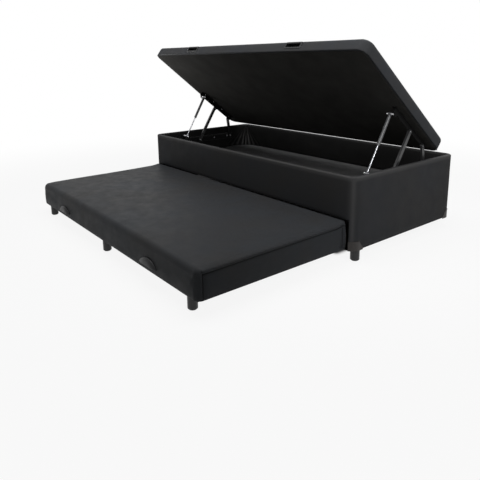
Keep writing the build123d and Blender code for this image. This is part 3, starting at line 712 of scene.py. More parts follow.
def half_moon(name, node):
    """A domed shell in front of the trundle, as wide as the CAD pull and with its top."""
    low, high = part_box(node)
    rise = dome_rise_share * (high[2] - low[2])
    foot = high[2] - rise
    middle, half = (low[0] + high[0]) / 2, (high[0] - low[0]) / 2
    sink = (half ** 2 - rise ** 2) / (2 * rise)
    arc = rise + sink
    points = [Vector((middle, high[1] - dome_proud, foot))]
    for number in range(dome_rays + 1):
        turn = math.pi * number / dome_rays
        reach = math.sqrt(arc ** 2 - (sink * math.cos(turn)) ** 2) - sink * math.sin(turn)
        points += [Vector((middle + share * reach * math.cos(turn), high[1] - dome_depth(share),
                           foot + share * reach * math.sin(turn))) for share in dome_shares]
    steps = len(dome_shares)
    faces = []
    for number in range(dome_rays):
        first = 1 + number * steps
        faces.append((0, first, first + steps))
        for step in range(steps - 1):
            near = first + step
            faces.append((near, near + 1, near + 1 + steps, near + steps))
    piece = make_piece(name, points, faces, "trundle", pull_plastic)
    thicken(piece, dome_wall)
    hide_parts(node)


half_moon("trundle_left_half_moon", "trundle_left_pull")
half_moon("trundle_right_half_moon", "trundle_right_pull")

# %% [markdown]
# The lid is a shallow upholstered tray. Its skin is made lying flat: a hem turned under the edge,
# the border, a rounded top edge and a slightly padded top. Two finger pulls sit in the front
# border, so the skin needs holes there. The columns and levels are placed on the holes' edges,
# and the faces between them are left out.

# %% Sizes of the lid's skin
lid_round = 14 * mm
lid_hem = 12 * mm
lid_lower_round = 1.5 * mm
lid_crown = 3 * mm
pull_low, pull_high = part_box("lid_right_pull")
pull_middle = (pull_low[0] + pull_high[0]) / 2
pull_hole = 106 * mm
pull_hole_height = 28 * mm
pull_rise = 36 * mm
pull_calm = 90 * mm
hole_sides = [side * pull_middle + end * pull_hole / 2 for side in (-1, 1) for end in (-1, 1)]
hole_low = pull_rise - pull_hole_height / 2
hole_high = pull_rise + pull_hole_height / 2
print("pull holes at", hole_sides)

# %% The lid's skin, lying flat
skin_step = 24 * mm
lid_straight = half_length - corner_radius
stops = [-lid_straight] + hole_sides + [lid_straight]
lid_columns = []
for start, end in zip(stops, stops[1:]):
    lid_columns += spaced(start, end, skin_step) + ([end] if end != lid_straight else [])
lid_rows = spaced(corner_radius - bed_width, -corner_radius, skin_step)
block_turns = [math.radians(turn) for turn in (0, 7, 14, 21, 29, 37, 45)]


def lid_ring(inset, height):
    block = (half_length - inset, -bed_width + inset, -inset, corner_radius - inset)
    return ring_points(block, height, lid_columns, lid_rows, block_turns)


def lid_top(x, y):
    """The lid's padded top, in the lid's own frame."""
    share = inside_share(x, y, (half_length, -bed_width, 0), 120 * mm)
    rise = lid_crown * math.sin(math.pi / 2 * share)
    return lid_thickness - 1 * mm + rise + 0.5 * mm * ripple(x, y, 1.5, 0.3)


points = []
for inset, height in ((lid_hem - 1 * mm, 2.2 * mm), (lid_hem - 1 * mm, 0), (lid_hem - 4 * mm, -0.4 * mm),
                      (lid_lower_round, 0), (lid_lower_round * 0.3, lid_lower_round * 0.3)):
    points += lid_ring(inset, height)
border_levels = [lid_lower_round, 8 * mm, 15 * mm, hole_low, 29 * mm, pull_rise, 43 * mm, hole_high]
for level in border_levels:
    for place in lid_ring(0, level):
        puff = 1.2 * mm * math.sin(math.pi * level / lid_thickness)
        puff += 0.5 * mm * ripple(place.x, place.y, level * 4, 0.11)
        inward = Vector((place.x, place.y + bed_width / 2, 0)).normalized()
        near_pull = min(abs(abs(place.x) - pull_middle) / pull_calm, 1)
        points.append(place + inward * puff * near_pull)
for turn in (15, 35, 55, 75, 90):
    angle = math.radians(turn)
    inset = lid_round * (1 - math.cos(angle))
    for place in lid_ring(inset, 0):
        drop = lid_round * (1 - math.sin(angle))
        points.append(Vector((place.x, place.y, lid_top(place.x, place.y) - drop)))
lid_count = len(lid_ring(0, 0))
faces = skin_faces(0, lid_count, len(points) // lid_count)


def in_pull_hole(face):
    """Whether a face of the flat skin lies in one of the two holes of the front border."""
    middle = sum((points[number] for number in face), Vector()) / len(face)
    across_pull = abs(abs(middle.x) - pull_middle) < pull_hole / 2
    return across_pull and hole_low < middle.z < hole_high and middle.y < -bed_width + corner_radius


faces = [face for face in faces if not in_pull_hole(face)]
faces += close_skin(points, lid_count, lid_columns, lid_rows, block_turns, lid_top)
lid_cover = make_piece("lid_upholstery", points, faces, "lid", lid_cloth, lid_frame)
thicken(lid_cover, 2.5 * mm)
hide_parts("lid_cover")

# %% [markdown]
# The underside is closed with lining cloth, stretched between the hems. Real lining is never
# quite flat: it pulls into faint slanting wrinkles at a front corner and sinks a little between
# the slats. The wrinkles go into the lid, so that the steel angles stay in front of the cloth.

# %% The lid's lining
lining_half = half_length - lid_hem + 0.5 * mm
lining_front = -bed_width + lid_hem - 0.5 * mm
lining_rear = -lid_hem + 0.5 * mm


def lining_height(x, y):
    """How far the lining sinks into the lid, in the lid's own frame."""
    inside = inside_share(x, y, (lining_half, lining_front, lining_rear), 50 * mm)
    sink = 1.4 * mm * (0.5 + 0.5 * ripple(x, y, 0.8, 0.28))
    for side in (-1, 1):
        to_corner = Vector((x - side * lining_half, y - lining_front))
        reach = to_corner.length
        slant = math.atan2(to_corner.y, -side * to_corner.x)
        crease = 0.5 + 0.5 * math.sin(slant * 26 + 1.5 * ripple(x, y, 2, 0.15))
        sink += 2.2 * mm * crease * bump_of(reach, 0.14, 0.13)
    return 0.3 * mm + sink * inside


fine_step = 16 * mm
lining_columns = with_ends(-lining_half, lining_half, fine_step)
lining_rows = with_ends(lining_front, lining_rear, fine_step)
points, faces = flat_cloth(lining_columns, lining_rows, lining_height, False)
lid_lining = make_piece("lid_lining_cloth", points, faces, "lid", under_cloth, lid_frame)
thicken(lid_lining, 0.8 * mm)
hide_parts("lid_lining")

# %% [markdown]
# The box is boards with cloth drawn round them. The skin starts with a hem under the boards, goes
# up the walls, over a softly padded rim and down to the lining. The front has an opening for the
# trundle, so one level lies on the opening's top and one column on each of its sides. Faces
# inside it are left out, and the cloth is turned in round the opening's edges. The rim swells by
# less than half a millimetre, which is the room that the closed lid leaves.

# %% Sizes of the box's skin
bay_half = board_end - 5 * mm
rim_round = 7 * mm
rim_inner_round = 4 * mm
rim_corner = 14 * mm
box_lower_round = 3 * mm
inner_half = wall_high[0] - 2 * mm
inner_front = wall_low[1] + 2 * mm
inner_rear = wall_high[1] - 2 * mm
rim_top = box_high[2]
jamb_depth = 40 * mm
header_depth = 23 * mm
jamb_turn = math.asin((bay_half - half_length + corner_radius) / corner_radius)
box_turns = [0, jamb_turn / 3, 2 * jamb_turn / 3, jamb_turn, math.radians(32), math.radians(38.5),
             math.radians(45)]
box_straight = half_length - corner_radius
wall_step = 24 * mm
box_columns = spaced(-box_straight, box_straight, wall_step)
box_rows = spaced(corner_radius, bed_width - corner_radius, wall_step)
print("bay half", bay_half, "jamb at", math.degrees(jamb_turn), "degrees round the corner")


# %% The box's skin
def box_ring(inset, height):
    block = (half_length - inset, inset, bed_width - inset, corner_radius - inset)
    return ring_points(block, height, box_columns, box_rows, box_turns)


def opening_ring(grow, height):
    """A ring round the storage opening, grown outwards over the rim."""
    block = (inner_half + grow, inner_front - grow, inner_rear + grow, rim_corner + grow)
    return ring_points(block, height, box_columns, box_rows, box_turns)


box_foot = box_low[2]
bay_fold = 1.5 * mm
front_zone = 15 * mm
corner_highlight = 0.5
rim_highlight = 0.55


def corner_share(place):
    """One on the ridge of an upright corner, falling to nought beside it."""
    from_end = half_length - abs(place.x)
    from_side = bed_width / 2 - abs(place.y - bed_width / 2)
    near = max(from_end, from_side) < corner_radius
    return bump_of(from_end - from_side, 0, 16 * mm) if near else 0.0


points = []
for inset, height in ((10 * mm, box_foot + 1.5 * mm), (box_lower_round, box_foot),
                      (box_lower_round * 0.3, box_foot + box_lower_round * 0.3)):
    points += box_ring(inset, height)
wall_levels = [box_foot + box_lower_round] + spaced(box_foot, bay_top, 30 * mm) + [bay_top + bay_fold]
wall_levels += spaced(bay_top + bay_fold, rim_top - rim_round, 18 * mm) + [rim_top - rim_round]
box_middle = Vector((0, bed_width / 2, 0))
for level in wall_levels:
    calm = min(1, abs(level - bay_top) / (25 * mm), (rim_top - level) / (25 * mm))
    for place in box_ring(0, level):
        out = Vector((place.x * 0.2, place.y - box_middle.y, 0)).normalized()
        if abs(place.x) > box_straight:
            out = Vector((place.x, 0, 0)).normalized()
        puff = 0.7 * mm * ripple(place.x + place.y, place.z, 5.0, 0.16)
        puff += 0.45 * mm * ripple(place.x + place.y, place.z * 0.4, 9.0, 0.05)
        points.append(place + out * puff * calm)
for turn in (20, 45, 70, 90):
    angle = math.radians(turn)
    points += box_ring(rim_round * (1 - math.cos(angle)), rim_top - rim_round * (1 - math.sin(angle)))
outer_rim = box_ring(rim_round, rim_top)
inner_rim = opening_ring(rim_inner_round, rim_top)
for share in (0.3, 0.7, 1.0):
    for out, into in zip(outer_rim, inner_rim):
        place = out.lerp(into, share)
        place.z += 0.1 * mm * math.sin(math.pi * share) + 0.1 * mm * ripple(place.x, place.y, 7.0, 0.07)
        points.append(place)
for turn in (60, 30, 0):
    angle = math.radians(turn)
    points += opening_ring(rim_inner_round * (1 - math.cos(angle)),
                           rim_top - rim_inner_round * (1 - math.sin(angle)))
points += opening_ring(0, rim_top - 16 * mm)
box_count = len(outer_rim)
faces = skin_faces(0, box_count, len(points) // box_count)


def in_bay(face):
    """Whether a face of the skin lies in the opening for the trundle."""
    middle = sum((points[number] for number in face), Vector()) / len(face)
    return abs(middle.x) < bay_half and middle.y < front_zone and middle.z < bay_top + bay_fold


faces = [face for face in faces if not in_bay(face)]
box_cover = make_piece("box_upholstery", points, faces, "box", box_cloth)
# Painted highlight: the rounded rim and the ridge of each upright corner are lightened in colour, where
# they catch the light.
worn = []
for point in points:
    at_rim = point.z > rim_top - rim_round and min(
        half_length - abs(point.x), bed_width / 2 - abs(point.y - bed_width / 2)) < rim_round + 2 * mm
    worn.append(max(rim_highlight if at_rim else 0.0, corner_highlight * corner_share(point)))
mark(box_cover, "worn", worn)


# %% Turn the cloth in round the trundle's opening
def round_the_bay(edge):
    """Whether an edge of the skin lies on the outline of the trundle's opening."""
    middle = (edge.verts[0].co + edge.verts[1].co) / 2
    level = box_foot + 1 * mm < middle.z < bay_top + 3 * bay_fold
    return level and middle.y < front_zone and abs(middle.x) <= bay_half + 1 * mm


def turn_in(piece):
    """Extrude the opening's edges back over the board's edges."""
    shape = bmesh.new()
    shape.from_mesh(piece.data)
    rim = [edge for edge in shape.edges if edge.is_boundary and round_the_bay(edge)]
    for depth, drop in ((0.5, 0.6), (1.6, 1.0), (None, 1.0)):
        made = bmesh.ops.extrude_edge_only(shape, edges=rim)["geom"]
        rim = [item for item in made if isinstance(item, bmesh.types.BMEdge)]
        fresh = [item for item in made if isinstance(item, bmesh.types.BMVert)]
        for point in fresh:
            at_head = point.co.z > bay_top - 1 * mm
            at_side = abs(point.co.x) > bay_half - 3 * mm
            reach = header_depth if at_head and not at_side else jamb_depth
            point.co.y = reach if depth is None else point.co.y + depth * mm
            if at_head:
                point.co.z = bay_top + bay_fold * (1 - drop)
    bmesh.ops.recalc_face_normals(shape, faces=list(shape.faces))
    shape.to_mesh(piece.data)
    shape.free()
    piece.data.set_sharp_from_angle(angle=sharp_fold)


turn_in(box_cover)
thicken(box_cover, 3.5 * mm)
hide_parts("box_cover")
print("box skin", len(box_cover.data.polygons), "faces after the turn-in")

# %% [markdown]
# The storage compartment is lined with black cloth. It is too wide for the two rear corners, so
# it is gathered there: narrow pleats start together at the top of the corner and fan out to the
# floor. The cloth also bridges each corner in a soft curve, wider at the floor than at the rim.

# %% Sizes of the trunk's lining
fan_reach = 0.24
fan_folds = 4
fan_depth = 14 * mm
bridge_low = 0.13
bridge_high = 0.012
lining_top = rim_top - 7 * mm


def corner_steps(length):
    """Distances from a corner: close together where the pleats are, wider after them."""
    near = [number * 3.5 * mm for number in range(1, int(fan_reach / (3.5 * mm)))]
    return near + spaced(near[-1], length, 22 * mm)


def wall_places():
    """Places along the four walls, counterclockwise from the front left corner."""
    deep, wide = inner_rear - inner_front, inner_half
    long_steps = corner_steps(wide)
    short_steps = corner_steps(deep - 30 * mm)
    places = [(x, inner_front) for x in [-wide] + spaced(-wide, wide, 30 * mm)]
    places += [(wide, inner_front)] + [(wide, inner_rear - gap) for gap in reversed(short_steps)]
    places += [(wide, inner_rear)] + [(wide - gap, inner_rear) for gap in long_steps]
    places += [(0, inner_rear)] + [(gap - wide, inner_rear) for gap in reversed(long_steps)]
    places += [(-wide, inner_rear)] + [(-wide, inner_rear - gap) for gap in short_steps]
    return places


def fan_width(fall):
    """How far along the wall the pleats reach at a fall below the rim."""
    return fan_reach * (0.1 + 0.9 * fall)


def fan_fold(gap, fall):
    """Depth of the gathered pleats at a distance along the wall and a fall below the rim."""
    spread_out = fan_width(fall) * 0.9
    if gap > spread_out * 1.25:
        return 0.0
    phase = gap / spread_out * fan_folds * math.pi
    fade = max(0, 1 - gap / (spread_out * 1.25)) ** 0.7
    return fan_depth * (math.cos(phase) ** 2) * fade * min(1, 0.25 + 1.4 * fall) * min(1, 8 * fall)


def fall_at(height):
    """Nought at the lining's top, one at the compartment's floor."""
    return (lining_top - height) / (lining_top - ground)


def pleat_at(x, y, height):
    """How far a point stands out on a pleat, as a share of the pleats' depth, in a fan."""
    gap = min(math.hypot(x - side * inner_half, y - inner_rear) for side in (-1, 1))
    fall = fall_at(height)
    fan = min(1, 8 * fall) * max(0, 1 - gap / (fan_width(fall) * 1.12))
    return fan_fold(gap, fall) / fan_depth, min(1, 3 * fan)


def lined_place(x, y, height):
    """Where a point of the lining hangs: bridged across the corner, then pleated."""
    fall = fall_at(height)
    place = Vector((x, y, height))
    for side in (-1, 1):
        corner = Vector((side * inner_half, inner_rear, height))
        gap = (place - corner).length
        radius = bridge_high + (bridge_low - bridge_high) * fall ** 1.3
        centre = corner + Vector((-side * radius, -radius, 0))
        near_x, near_y = abs(x - corner.x) < radius, abs(y - corner.y) < radius
        fold = fan_fold(gap, fall)
        if near_x and near_y:
            ray = place - centre
            place = centre + ray.normalized() * (radius - fold)
        elif gap < fan_reach * 1.3:
            into = Vector((0, -1, 0)) if abs(y - inner_rear) < 1 * mm else Vector((-side, 0, 0))
            place = place + into * fold
    return place


lining_places = wall_places()
lining_levels = with_ends(ground, lining_top, 9 * mm)
points = []
ridges, valleys = [], []
for level in lining_levels:
    for x, y in lining_places:
        place = lined_place(x, y, level)
        out_share, fan_share = pleat_at(x, y, level)
        # The ridges of the pleats get a painted highlight and their bottoms painted shade.
        ridges.append(fan_share * out_share ** 3)
        valleys.append(0.8 * fan_share * (1 - out_share) ** 6)
        calm = min(1, (level - ground) / 0.03, (lining_top - level) / 0.03)
        loose = 1.6 * mm * (0.5 + 0.5 * ripple(x + y, level * 2.5, 3.0, 0.12)) * calm
        to_middle = Vector((-place.x * 0.3, bed_width / 2 - place.y, 0)).normalized()
        points.append(place + to_middle * loose)
faces = [face[::-1] for face in skin_faces(0, len(lining_places), len(lining_levels))]
trunk_cloth = make_piece("trunk_lining_cloth", points, faces, "box", wall_cloth)
mark(trunk_cloth, "worn", ridges)
mark(trunk_cloth, "seam", valleys)
thicken(trunk_cloth, 0.9 * mm)
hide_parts("trunk_lining")


# %% The compartment's floor cloth
def ground_height(x, y):
    inside = inside_share(x, y, (inner_half, inner_front, inner_rear), 50 * mm)
    return ground - 0.2 * mm - 0.8 * mm * inside * (0.5 + 0.5 * ripple(x, y, 6.0, 0.2))


ground_step = 26 * mm
ground_columns = with_ends(-inner_half, inner_half, ground_step)
ground_rows = with_ends(inner_front, inner_rear, ground_step)
points, faces = flat_cloth(ground_columns, ground_rows, ground_height, True)
ground_cover = make_piece("trunk_floor_lining", points, faces, "box", ground_cloth)
thicken(ground_cover, 0.8 * mm)
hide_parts("trunk_floor_cloth")

# %% [markdown]
# Screws and staples repeat, so Geometry Nodes place them. One small shape is given point by point, and a
# tree copies it. The first tree puts a shape on points, each with a stored direction to face. The
# second walks along a path and leaves a shape at every step. Both end in Realize Instances and
# Set Material, and the result is kept as a plain mesh.


# %% Helpers for a node tree
def open_tree(name, inputs):
    """A geometry tree with named inputs; returns it, its input node and the sockets' names."""
    tree = bpy.data.node_groups.new(name, "GeometryNodeTree")
    sockets = {label: tree.interface.new_socket(label, in_out="INPUT", socket_type=kind).identifier
               for label, kind in inputs.items()}
    tree.interface.new_socket("Result", in_out="OUTPUT", socket_type="NodeSocketGeometry")
    return tree, tree.nodes.new("NodeGroupInput"), sockets


def close_tree(tree, given, shapes):
    """Realize the copies, give them their finish and hand them out."""
    plain = tree.nodes.new("GeometryNodeRealizeInstances")
    painted = tree.nodes.new("GeometryNodeSetMaterial")
    done = tree.nodes.new("NodeGroupOutput")
    tree.links.new(shapes, plain.inputs["Geometry"])
    tree.links.new(plain.outputs["Geometry"], painted.inputs["Geometry"])
    tree.links.new(given.outputs["Finish"], painted.inputs["Material"])
    tree.links.new(painted.outputs["Geometry"], done.inputs["Result"])


def copy_shape(tree, given, points, direction, axis):
    """Copies of the given shape on points, turned so that one axis follows a direction."""
    shape = tree.nodes.new("GeometryNodeObjectInfo")
    turn = tree.nodes.new("FunctionNodeAlignRotationToVector")
    turn.axis = axis
    copies = tree.nodes.new("GeometryNodeInstanceOnPoints")
    tree.links.new(given.outputs["Shape"], shape.inputs["Object"])
    tree.links.new(direction, turn.inputs["Vector"])
    tree.links.new(points, copies.inputs["Points"])
    tree.links.new(shape.outputs["Geometry"], copies.inputs["Instance"])
    tree.links.new(turn.outputs["Rotation"], copies.inputs["Rotation"])
    tree.links.new(given.outputs["Size"], copies.inputs["Scale"])
    return copies.outputs["Instances"]


# %% A tree that puts a shape on points
common = {"Carrier": "NodeSocketGeometry", "Shape": "NodeSocketObject", "Size": "NodeSocketFloat",
          "Finish": "NodeSocketMaterial"}
point_tree, given, point_sockets = open_tree("shape on points", common)
facing = point_tree.nodes.new("GeometryNodeInputNamedAttribute")
facing.data_type = "FLOAT_VECTOR"
facing.inputs["Name"].default_value = "facing"
copies = copy_shape(point_tree, given, given.outputs["Carrier"], facing.outputs["Attribute"], "Z")
close_tree(point_tree, given, copies)

# %% A tree that leaves a shape at every step of a path
path_tree, given, path_sockets = open_tree("shape along a path", {**common, "Step": "NodeSocketFloat"})
path = path_tree.nodes.new("GeometryNodeMeshToCurve")
steps = path_tree.nodes.new("GeometryNodeResampleCurve")
steps.mode = "LENGTH"
along_path = path_tree.nodes.new("GeometryNodeInputTangent")
path_tree.links.new(given.outputs["Carrier"], path.inputs["Mesh"])
path_tree.links.new(path.outputs["Curve"], steps.inputs["Curve"])
path_tree.links.new(given.outputs["Step"], steps.inputs["Length"])
copies = copy_shape(path_tree, given, steps.outputs["Curve"], along_path.outputs["Tangent"], "X")
close_tree(path_tree, given, copies)


# %% Grow a tree's shapes on a carrier and keep them as one plain piece
def shape_object(name, points, faces):
    mesh = bpy.data.meshes.new(name)
    mesh.from_pydata([tuple(point) for point in points], [], faces)
    return bpy.data.objects.new(name, mesh)


def grow(name, points, edges, tree, sockets, values, body, slot, facing=None):
    mesh = bpy.data.meshes.new(name + "_carrier")
    mesh.from_pydata([tuple(point) for point in points], edges, [])
    if facing is not None:
        stored = mesh.attributes.new("facing", "FLOAT_VECTOR", "POINT")
        stored.data.foreach_set("vector", [part for vector in facing for part in vector])
    carrier = bpy.data.objects.new(name + "_carrier", mesh)
    bpy.context.scene.collection.objects.link(carrier)
    growth = carrier.modifiers.new("growth", "NODES")
    growth.node_group = tree
    for label, value in values.items():
        growth[sockets[label]] = value
    grown = bpy.data.meshes.new_from_object(carrier.evaluated_get(bpy.context.evaluated_depsgraph_get()))
    carrier.modifiers.remove(growth)
    bpy.data.objects.remove(carrier)
    grown.name = name
    return place_piece(grown, body, metal_fold)


# %% [markdown]
# The rails are held by screws with a cross recess. The lower ones are sunk flush into the rail and
# the upper ones have a low round head. Their places come from the solids that they replace.

# %% A screw head with a cross recess
head_radius = 6 * mm
cross_arm = 3.4 * mm
cross_half = 0.9 * mm
cross_depth = 1.2 * mm


def cross_outline():
    """A plus sign's outline with a point in the middle of each of its twelve sides."""
    a, w = cross_arm, cross_half
    corners = [(a, -w), (a, w), (w, w), (w, a), (-w, a), (-w, w), (-a, w), (-a, -w), (-w, -w), (-w, -a),
               (w, -a), (w, -w)]
    outline = []
    for (x, y), (next_x, next_y) in zip(corners, corners[1:] + corners[:1]):
        outline += [(x, y), ((x + next_x) / 2, (y + next_y) / 2)]
    return outline


def screw_head(name, height, dome):
    """A head that stands on the XY plane and faces +Z: wall, edge, dome and recess."""
    cross = cross_outline()
    ways = [math.atan2(y, x) for x, y in cross]
    points = []
    for radius, level in ((head_radius, 0), (head_radius, height - dome),
                          (0.93 * head_radius, height - 0.4 * dome), (0.72 * head_radius, height)):
        points += [Vector((radius * math.cos(way), radius * math.sin(way), level)) for way in ways]
    for scale, level in ((1, height), (0.8, height - cross_depth)):
        points += [Vector((scale * x, scale * y, level)) for x, y in cross]
    count = len(cross)
    faces = skin_faces(0, count, len(points) // count)
    points += [Vector((0, 0, height - cross_depth)), Vector()]
    top, last = len(points) - 2, len(points) - 2 - count
    for step in range(count):
        after = (step + 1) % count
        faces.append((last + step, last + after, top))
        faces.append((after, step, top + 1))
    return shape_object(name, points, faces)


def solid_boxes(node, apart):
    """The lowest and highest corner of each separate solid of a node, told apart by distance."""
    boxes = []
    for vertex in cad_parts[node].data.vertices:
        place = vertex.co
        for low, high in boxes:
            if ((low + high) / 2 - place).length < apart:
                low[:] = [min(a, b) for a, b in zip(low, place)]
                high[:] = [max(a, b) for a, b in zip(high, place)]
                break
        else:
            boxes.append((place.copy(), place.copy()))
    return boxes


# %% Screws of the rails
rail_depth = 3 * mm
flush_head = screw_head("flush screw head", rail_depth, 0.3 * mm)
pan_head = screw_head("pan screw head", 2 * mm, 0.9 * mm)
boxes = solid_boxes("lower_rail_screws", 20 * mm)
sides_in = [Vector((-math.copysign(1, low.x), 0, 0)) for low, high in boxes]
bases = [(low + high) / 2 - inward * rail_depth / 2 for (low, high), inward in zip(boxes, sides_in)]
screws = grow("lower_rail_screw_heads", bases, [], point_tree, point_sockets,
              {"Shape": flush_head, "Size": 1.0, "Finish": zinc}, "box", "bright_steel", sides_in)
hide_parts("lower_rail_screws")
boxes = solid_boxes("upper_rail_screws", 20 * mm)
lid_down = -(lid_frame.to_3x3() @ Vector((0, 0, 1)))
bases = [(low + high) / 2 - lid_down * 1 * mm for low, high in boxes]
screws = grow("upper_rail_screw_heads", bases, [], point_tree, point_sockets,
              {"Shape": pan_head, "Size": 1.0, "Finish": zinc}, "lid", "bright_steel",
              [lid_down] * len(boxes))
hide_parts("upper_rail_screws")
bpy.data.objects.remove(flush_head)
bpy.data.objects.remove(pan_head)

# %% [markdown]
# The trundle's dust cloth is stapled to the frame's underside. The staples follow the edge and
# leave out the legs, so the path is made of the stretches between them.

# %% Staples along the dust cloth
staple_inset = 20 * mm
staple_step = 42 * mm
staple_half = 5 * mm
staple_wire = 0.6 * mm
leg_room = 8 * mm
corner_room = 25 * mm
leg_boxes = solid_boxes("trundle_legs", 120 * mm)


def staple_shape():
    """A bent wire with six sides: the crown lies along X, and both ends turn up into the cloth."""
    line = [(-staple_half, 1.6 * mm), (-staple_half, 0.4 * mm), (-staple_half + 0.5 * mm, 0),
            (staple_half - 0.5 * mm, 0), (staple_half, 0.4 * mm), (staple_half, 1.6 * mm)]
    slopes = [(0, -1), (0.4, -0.9), (0.9, -0.4), (0.9, 0.4), (0.4, 0.9), (0, 1)]
    points = []
    for (x, z), (run, rise) in zip(line, slopes):
        size = math.hypot(run, rise)
        for number in range(6):
            turn = math.tau * number / 6
            across_wire, up_wire = staple_wire * math.cos(turn), staple_wire * math.sin(turn)
            points.append(Vector((x - rise / size * up_wire, across_wire, z + run / size * up_wire)))
    faces = skin_faces(0, 6, len(line))
    faces += [tuple(range(5, -1, -1)), tuple(range(len(points) - 6, len(points)))]
    return shape_object("staple", points, faces)


def free_stretches(start, end, blocks):
    """The parts of a line from start to end that lie in no block."""
    stretches = []
    for low, high in sorted(blocks):
        if low > start:
            stretches.append((start, min(low, end)))
        start = max(start, high)
    return stretches + ([(start, end)] if start < end else [])


points, edges = [], []
staple_height = tray_foot + 0.5 * mm
reach_x, reach_y = tray_half - staple_inset, tray_half_width - staple_inset
for end in (-1, 1):
    for axis, middle, reach, line in ((0, 0, reach_x, tray_mid + end * reach_y),
                                      (1, tray_mid, reach_y, end * reach_x)):
        other = 1 - axis
        blocks = [(low[axis] - leg_room, high[axis] + leg_room) for low, high in leg_boxes
                  if low[other] - leg_room < line < high[other] + leg_room]
        for stretch in free_stretches(middle - reach + corner_room, middle + reach - corner_room, blocks):
            edges.append((len(points), len(points) + 1))
            for along_line in stretch:
                place = (along_line, line) if axis == 0 else (line, along_line)
                points.append(Vector((*place, staple_height)))
staple = staple_shape()
grow("trundle_staples", points, edges, path_tree, path_sockets,
     {"Shape": staple, "Size": 1.0, "Finish": zinc, "Step": staple_step}, "trundle", "bright_steel")
bpy.data.objects.remove(staple)

# %% [markdown]
# Rigid solids keep their own shape and get a finish. The names say what each one is, so a short
# list of name endings is enough to pick the material for every node that still shows.

# %% Finishes of the rigid solids
finishes = [
    (guard_plastic, ["corner_guard"]),
    (leg_plastic, ["box_legs", "trundle_legs", "leg_pads"]),
    (pull_plastic, ["pull"]),
    (stained_pine, ["rail_blocks"]),
    (rail_paint, ["leg_plates", "lower_rail", "upper_rail"]),
    (link_paint, ["front_link", "rear_link"]),
    (polished_rod, ["strut_rod"]),
    (tube_paint, ["strut_tube"]),
    (zinc, ["screws", "pins", "studs", "rivets"]),
    (pine_across, ["floor_bearers", "slats", "left_rail", "right_rail"]),
    (pine_along, ["front_rail", "rear_rail"]),
    (wall_cloth, ["end_board", "front_board", "back_board"]),
    (plywood, ["trunk_floor", "deck"]),
]
for name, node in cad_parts.items():
    if node.hide_render:
        continue
    finish = next(material for material, endings in finishes if name.endswith(tuple(endings)))
    node.data.materials.clear()
    node.data.materials.append(finish)
print("dressed", sum(not node.hide_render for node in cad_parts.values()), "solids")

# %% [markdown]
# The bed stands on a plain white floor in front of a white backdrop. The camera sees both as
# white, through Light Path, so the lamps needn't be strong and the colours stay as written. The
# floor keeps a faint shadow, because only part of its white is given out by itself.

# %% Floor and world
floor_size = 14.0
floor_mesh = bpy.data.meshes.new("floor")
half_floor = floor_size / 2
floor_mesh.from_pydata([(-half_floor, -half_floor, 0), (half_floor, -half_floor, 0),
                        (half_floor, half_floor, 0), (-half_floor, half_floor, 0)], [], [(0, 1, 2, 3)])
floor = bpy.data.objects.new("floor", floor_mesh)
bpy.context.scene.collection.objects.link(floor)


def number_node(tree, kind, first, second):
    """A Math node on two sockets or numbers; returns its value."""
    node = tree.nodes.new("ShaderNodeMath")
    node.operation = kind
    for socket, given in zip(node.inputs, (first, second)):
        if isinstance(given, (int, float)):
            socket.default_value = given
        else:
            tree.links.new(given, socket)
    return node.outputs[0]


def seen_share(tree):
    """One where the camera, a gloss or glass looks at a surface, nought for plain light."""
    rays = tree.nodes.new("ShaderNodeLightPath")
    total = rays.outputs["Is Camera Ray"]
    for kind in ("Is Glossy Ray", "Is Transmission Ray"):
        total = number_node(tree, "MAXIMUM", total, rays.outputs[kind])
    return total


floor_paint, shader = new_finish("pale floor", 0.9, specular=0.1)
tree = floor_paint.node_tree
glow = tree.nodes.new("ShaderNodeEmission")
glow.inputs["Color"].default_value = (1, 1, 1, 1)
both = tree.nodes.new("ShaderNodeMixShader")

# %% [markdown]
# Under the box a shadow is painted on the floor: its colour turns dark and its own white is left out,
# as little light gets there. A short strip beyond the left end has the same painted shadow, because
# the slit over the trundle's rear edge looks through the bay at that place.

# %% The floor's own white, less of it under a painted shadow
shade_areas = [((-0.89, 0.06), (0.79, 0.87)), ((-1.2, 0.46), (-0.89, 0.6))]
lit_grey, shaded_grey = 0.62, 0.04
shade_edge = 0.04
near_white = 0.9
near_reach, far_reach = 1.5, 4.0
world_light = 0.07
spot = tree.nodes.new("ShaderNodeTexCoord").outputs["Object"]
apart = tree.nodes.new("ShaderNodeSeparateXYZ")
tree.links.new(spot, apart.inputs["Vector"])
shade = 0.0
for area_low, area_high in shade_areas:
    area_shade = 1.0
    for axis in (0, 1):
        middle = (area_low[axis] + area_high[axis]) / 2
        reach = (area_high[axis] - area_low[axis]) / 2
        offset = number_node(tree, "SUBTRACT", apart.outputs[axis], middle)
        away = number_node(tree, "ABSOLUTE", offset, 0)
        near = map_range(tree, away, reach, reach + shade_edge, 1, 0, smooth=True)
        area_shade = number_node(tree, "MULTIPLY", near, area_shade)
    shade = number_node(tree, "MAXIMUM", area_shade, shade)
length = tree.nodes.new("ShaderNodeVectorMath")
length.operation = "LENGTH"
tree.links.new(spot, length.inputs[0])
white = map_range(tree, length.outputs["Value"], near_reach, far_reach, near_white, 1, smooth=True)
open_floor = number_node(tree, "SUBTRACT", 1, shade)
# Painted shadow: the floor's colour falls from lit_grey to shaded_grey in the shade areas.
put(shader, map_range(tree, shade, 0, 1, lit_grey, shaded_grey, smooth=True), "Base Color")
seen_white = number_node(tree, "MULTIPLY", seen_share(tree), white)
seen_white = number_node(tree, "MULTIPLY", seen_white, open_floor)
tree.links.new(seen_white, both.inputs["Fac"])
tree.links.new(shader.outputs["BSDF"], both.inputs[1])
tree.links.new(glow.outputs["Emission"], both.inputs[2])
tree.links.new(both.outputs["Shader"], tree.nodes["Material Output"].inputs["Surface"])
floor_mesh.materials.append(floor_paint)

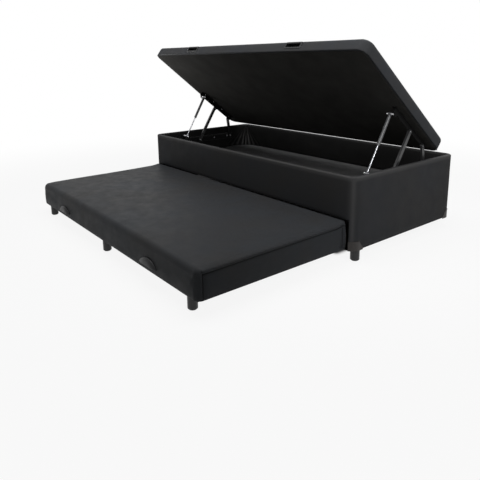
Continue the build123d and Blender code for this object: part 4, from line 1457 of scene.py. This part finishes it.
world = bpy.data.worlds.new("studio")
world.use_nodes = True
bpy.context.scene.world = world
tree = world.node_tree
dome = tree.nodes["Background"]
dome.inputs["Color"].default_value = (1, 1, 1, 1)
put(dome, map_range(tree, seen_share(tree), 0, 1, world_light, 1), "Strength")

# %% [markdown]
# One wide soft lamp hangs over the bed, so that the black cloth shows its shape by slow changes of
# tone. A small one with a narrow cone lights the lid's lower left corner, and a weak one the right
# end, as in the photograph.


# %% Lamps
def soft_lamp(name, place, aim, size, power, cone=180):
    lamp = bpy.data.lights.new(name, "AREA")
    lamp.spread = math.radians(cone)
    lamp.shape = "RECTANGLE"
    lamp.size, lamp.size_y = size
    lamp.energy = power
    holder = bpy.data.objects.new(name, lamp)
    bpy.context.scene.collection.objects.link(holder)
    toward = Vector(aim) - Vector(place)
    holder.matrix_world = (Matrix.Translation(Vector(place))
                           @ toward.to_track_quat("-Z", "Y").to_matrix().to_4x4())
    return holder


soft_lamp("lamp overhead", (0.3, -0.15, 3.2), (0.1, 0.0, 0.2), (3.4, 1.7), 92)
soft_lamp("lamp low at the left", (-1.6, -0.35, 0.72), (-0.78, 0.06, 1.0), (0.3, 0.3), 1.6, cone=70)
soft_lamp("lamp right end", (2.5, -0.5, 1.7), (0.94, 0.38, 0.84), (0.8, 0.8), 6.0, cone=72)

# %% [markdown]
# The camera was fitted to the photograph beforehand. Its place, direction and lens come from the
# edges of the box and the trundle. The picture's centre of perspective lies above its middle,
# which a camera shift gives without tilting the bed.

# %% Camera
azimuth = math.radians(51.81)
elevation = math.radians(12.67)
roll = math.radians(-0.82)
back = Vector((math.sin(azimuth) * math.cos(elevation), -math.cos(azimuth) * math.cos(elevation),
               math.sin(elevation)))
right = Vector((math.cos(azimuth), math.sin(azimuth), 0))
upward = back.cross(right)
turned_right = right * math.cos(roll) + upward * math.sin(roll)
turned_up = upward * math.cos(roll) - right * math.sin(roll)
lens = bpy.data.cameras.new("camera")
lens.sensor_width = 36
lens.lens = 37.46
lens.shift_y = -0.1458
camera = bpy.data.objects.new("camera", lens)
bpy.context.scene.collection.objects.link(camera)
axes = Matrix((turned_right, turned_up, back)).transposed().to_4x4()
camera.matrix_world = Matrix.Translation(Vector((2.374, -1.8006, 0.9756))) @ axes
bpy.context.scene.camera = camera
bpy.context.scene.view_settings.view_transform = "Standard"
print("camera at", tuple(camera.location))
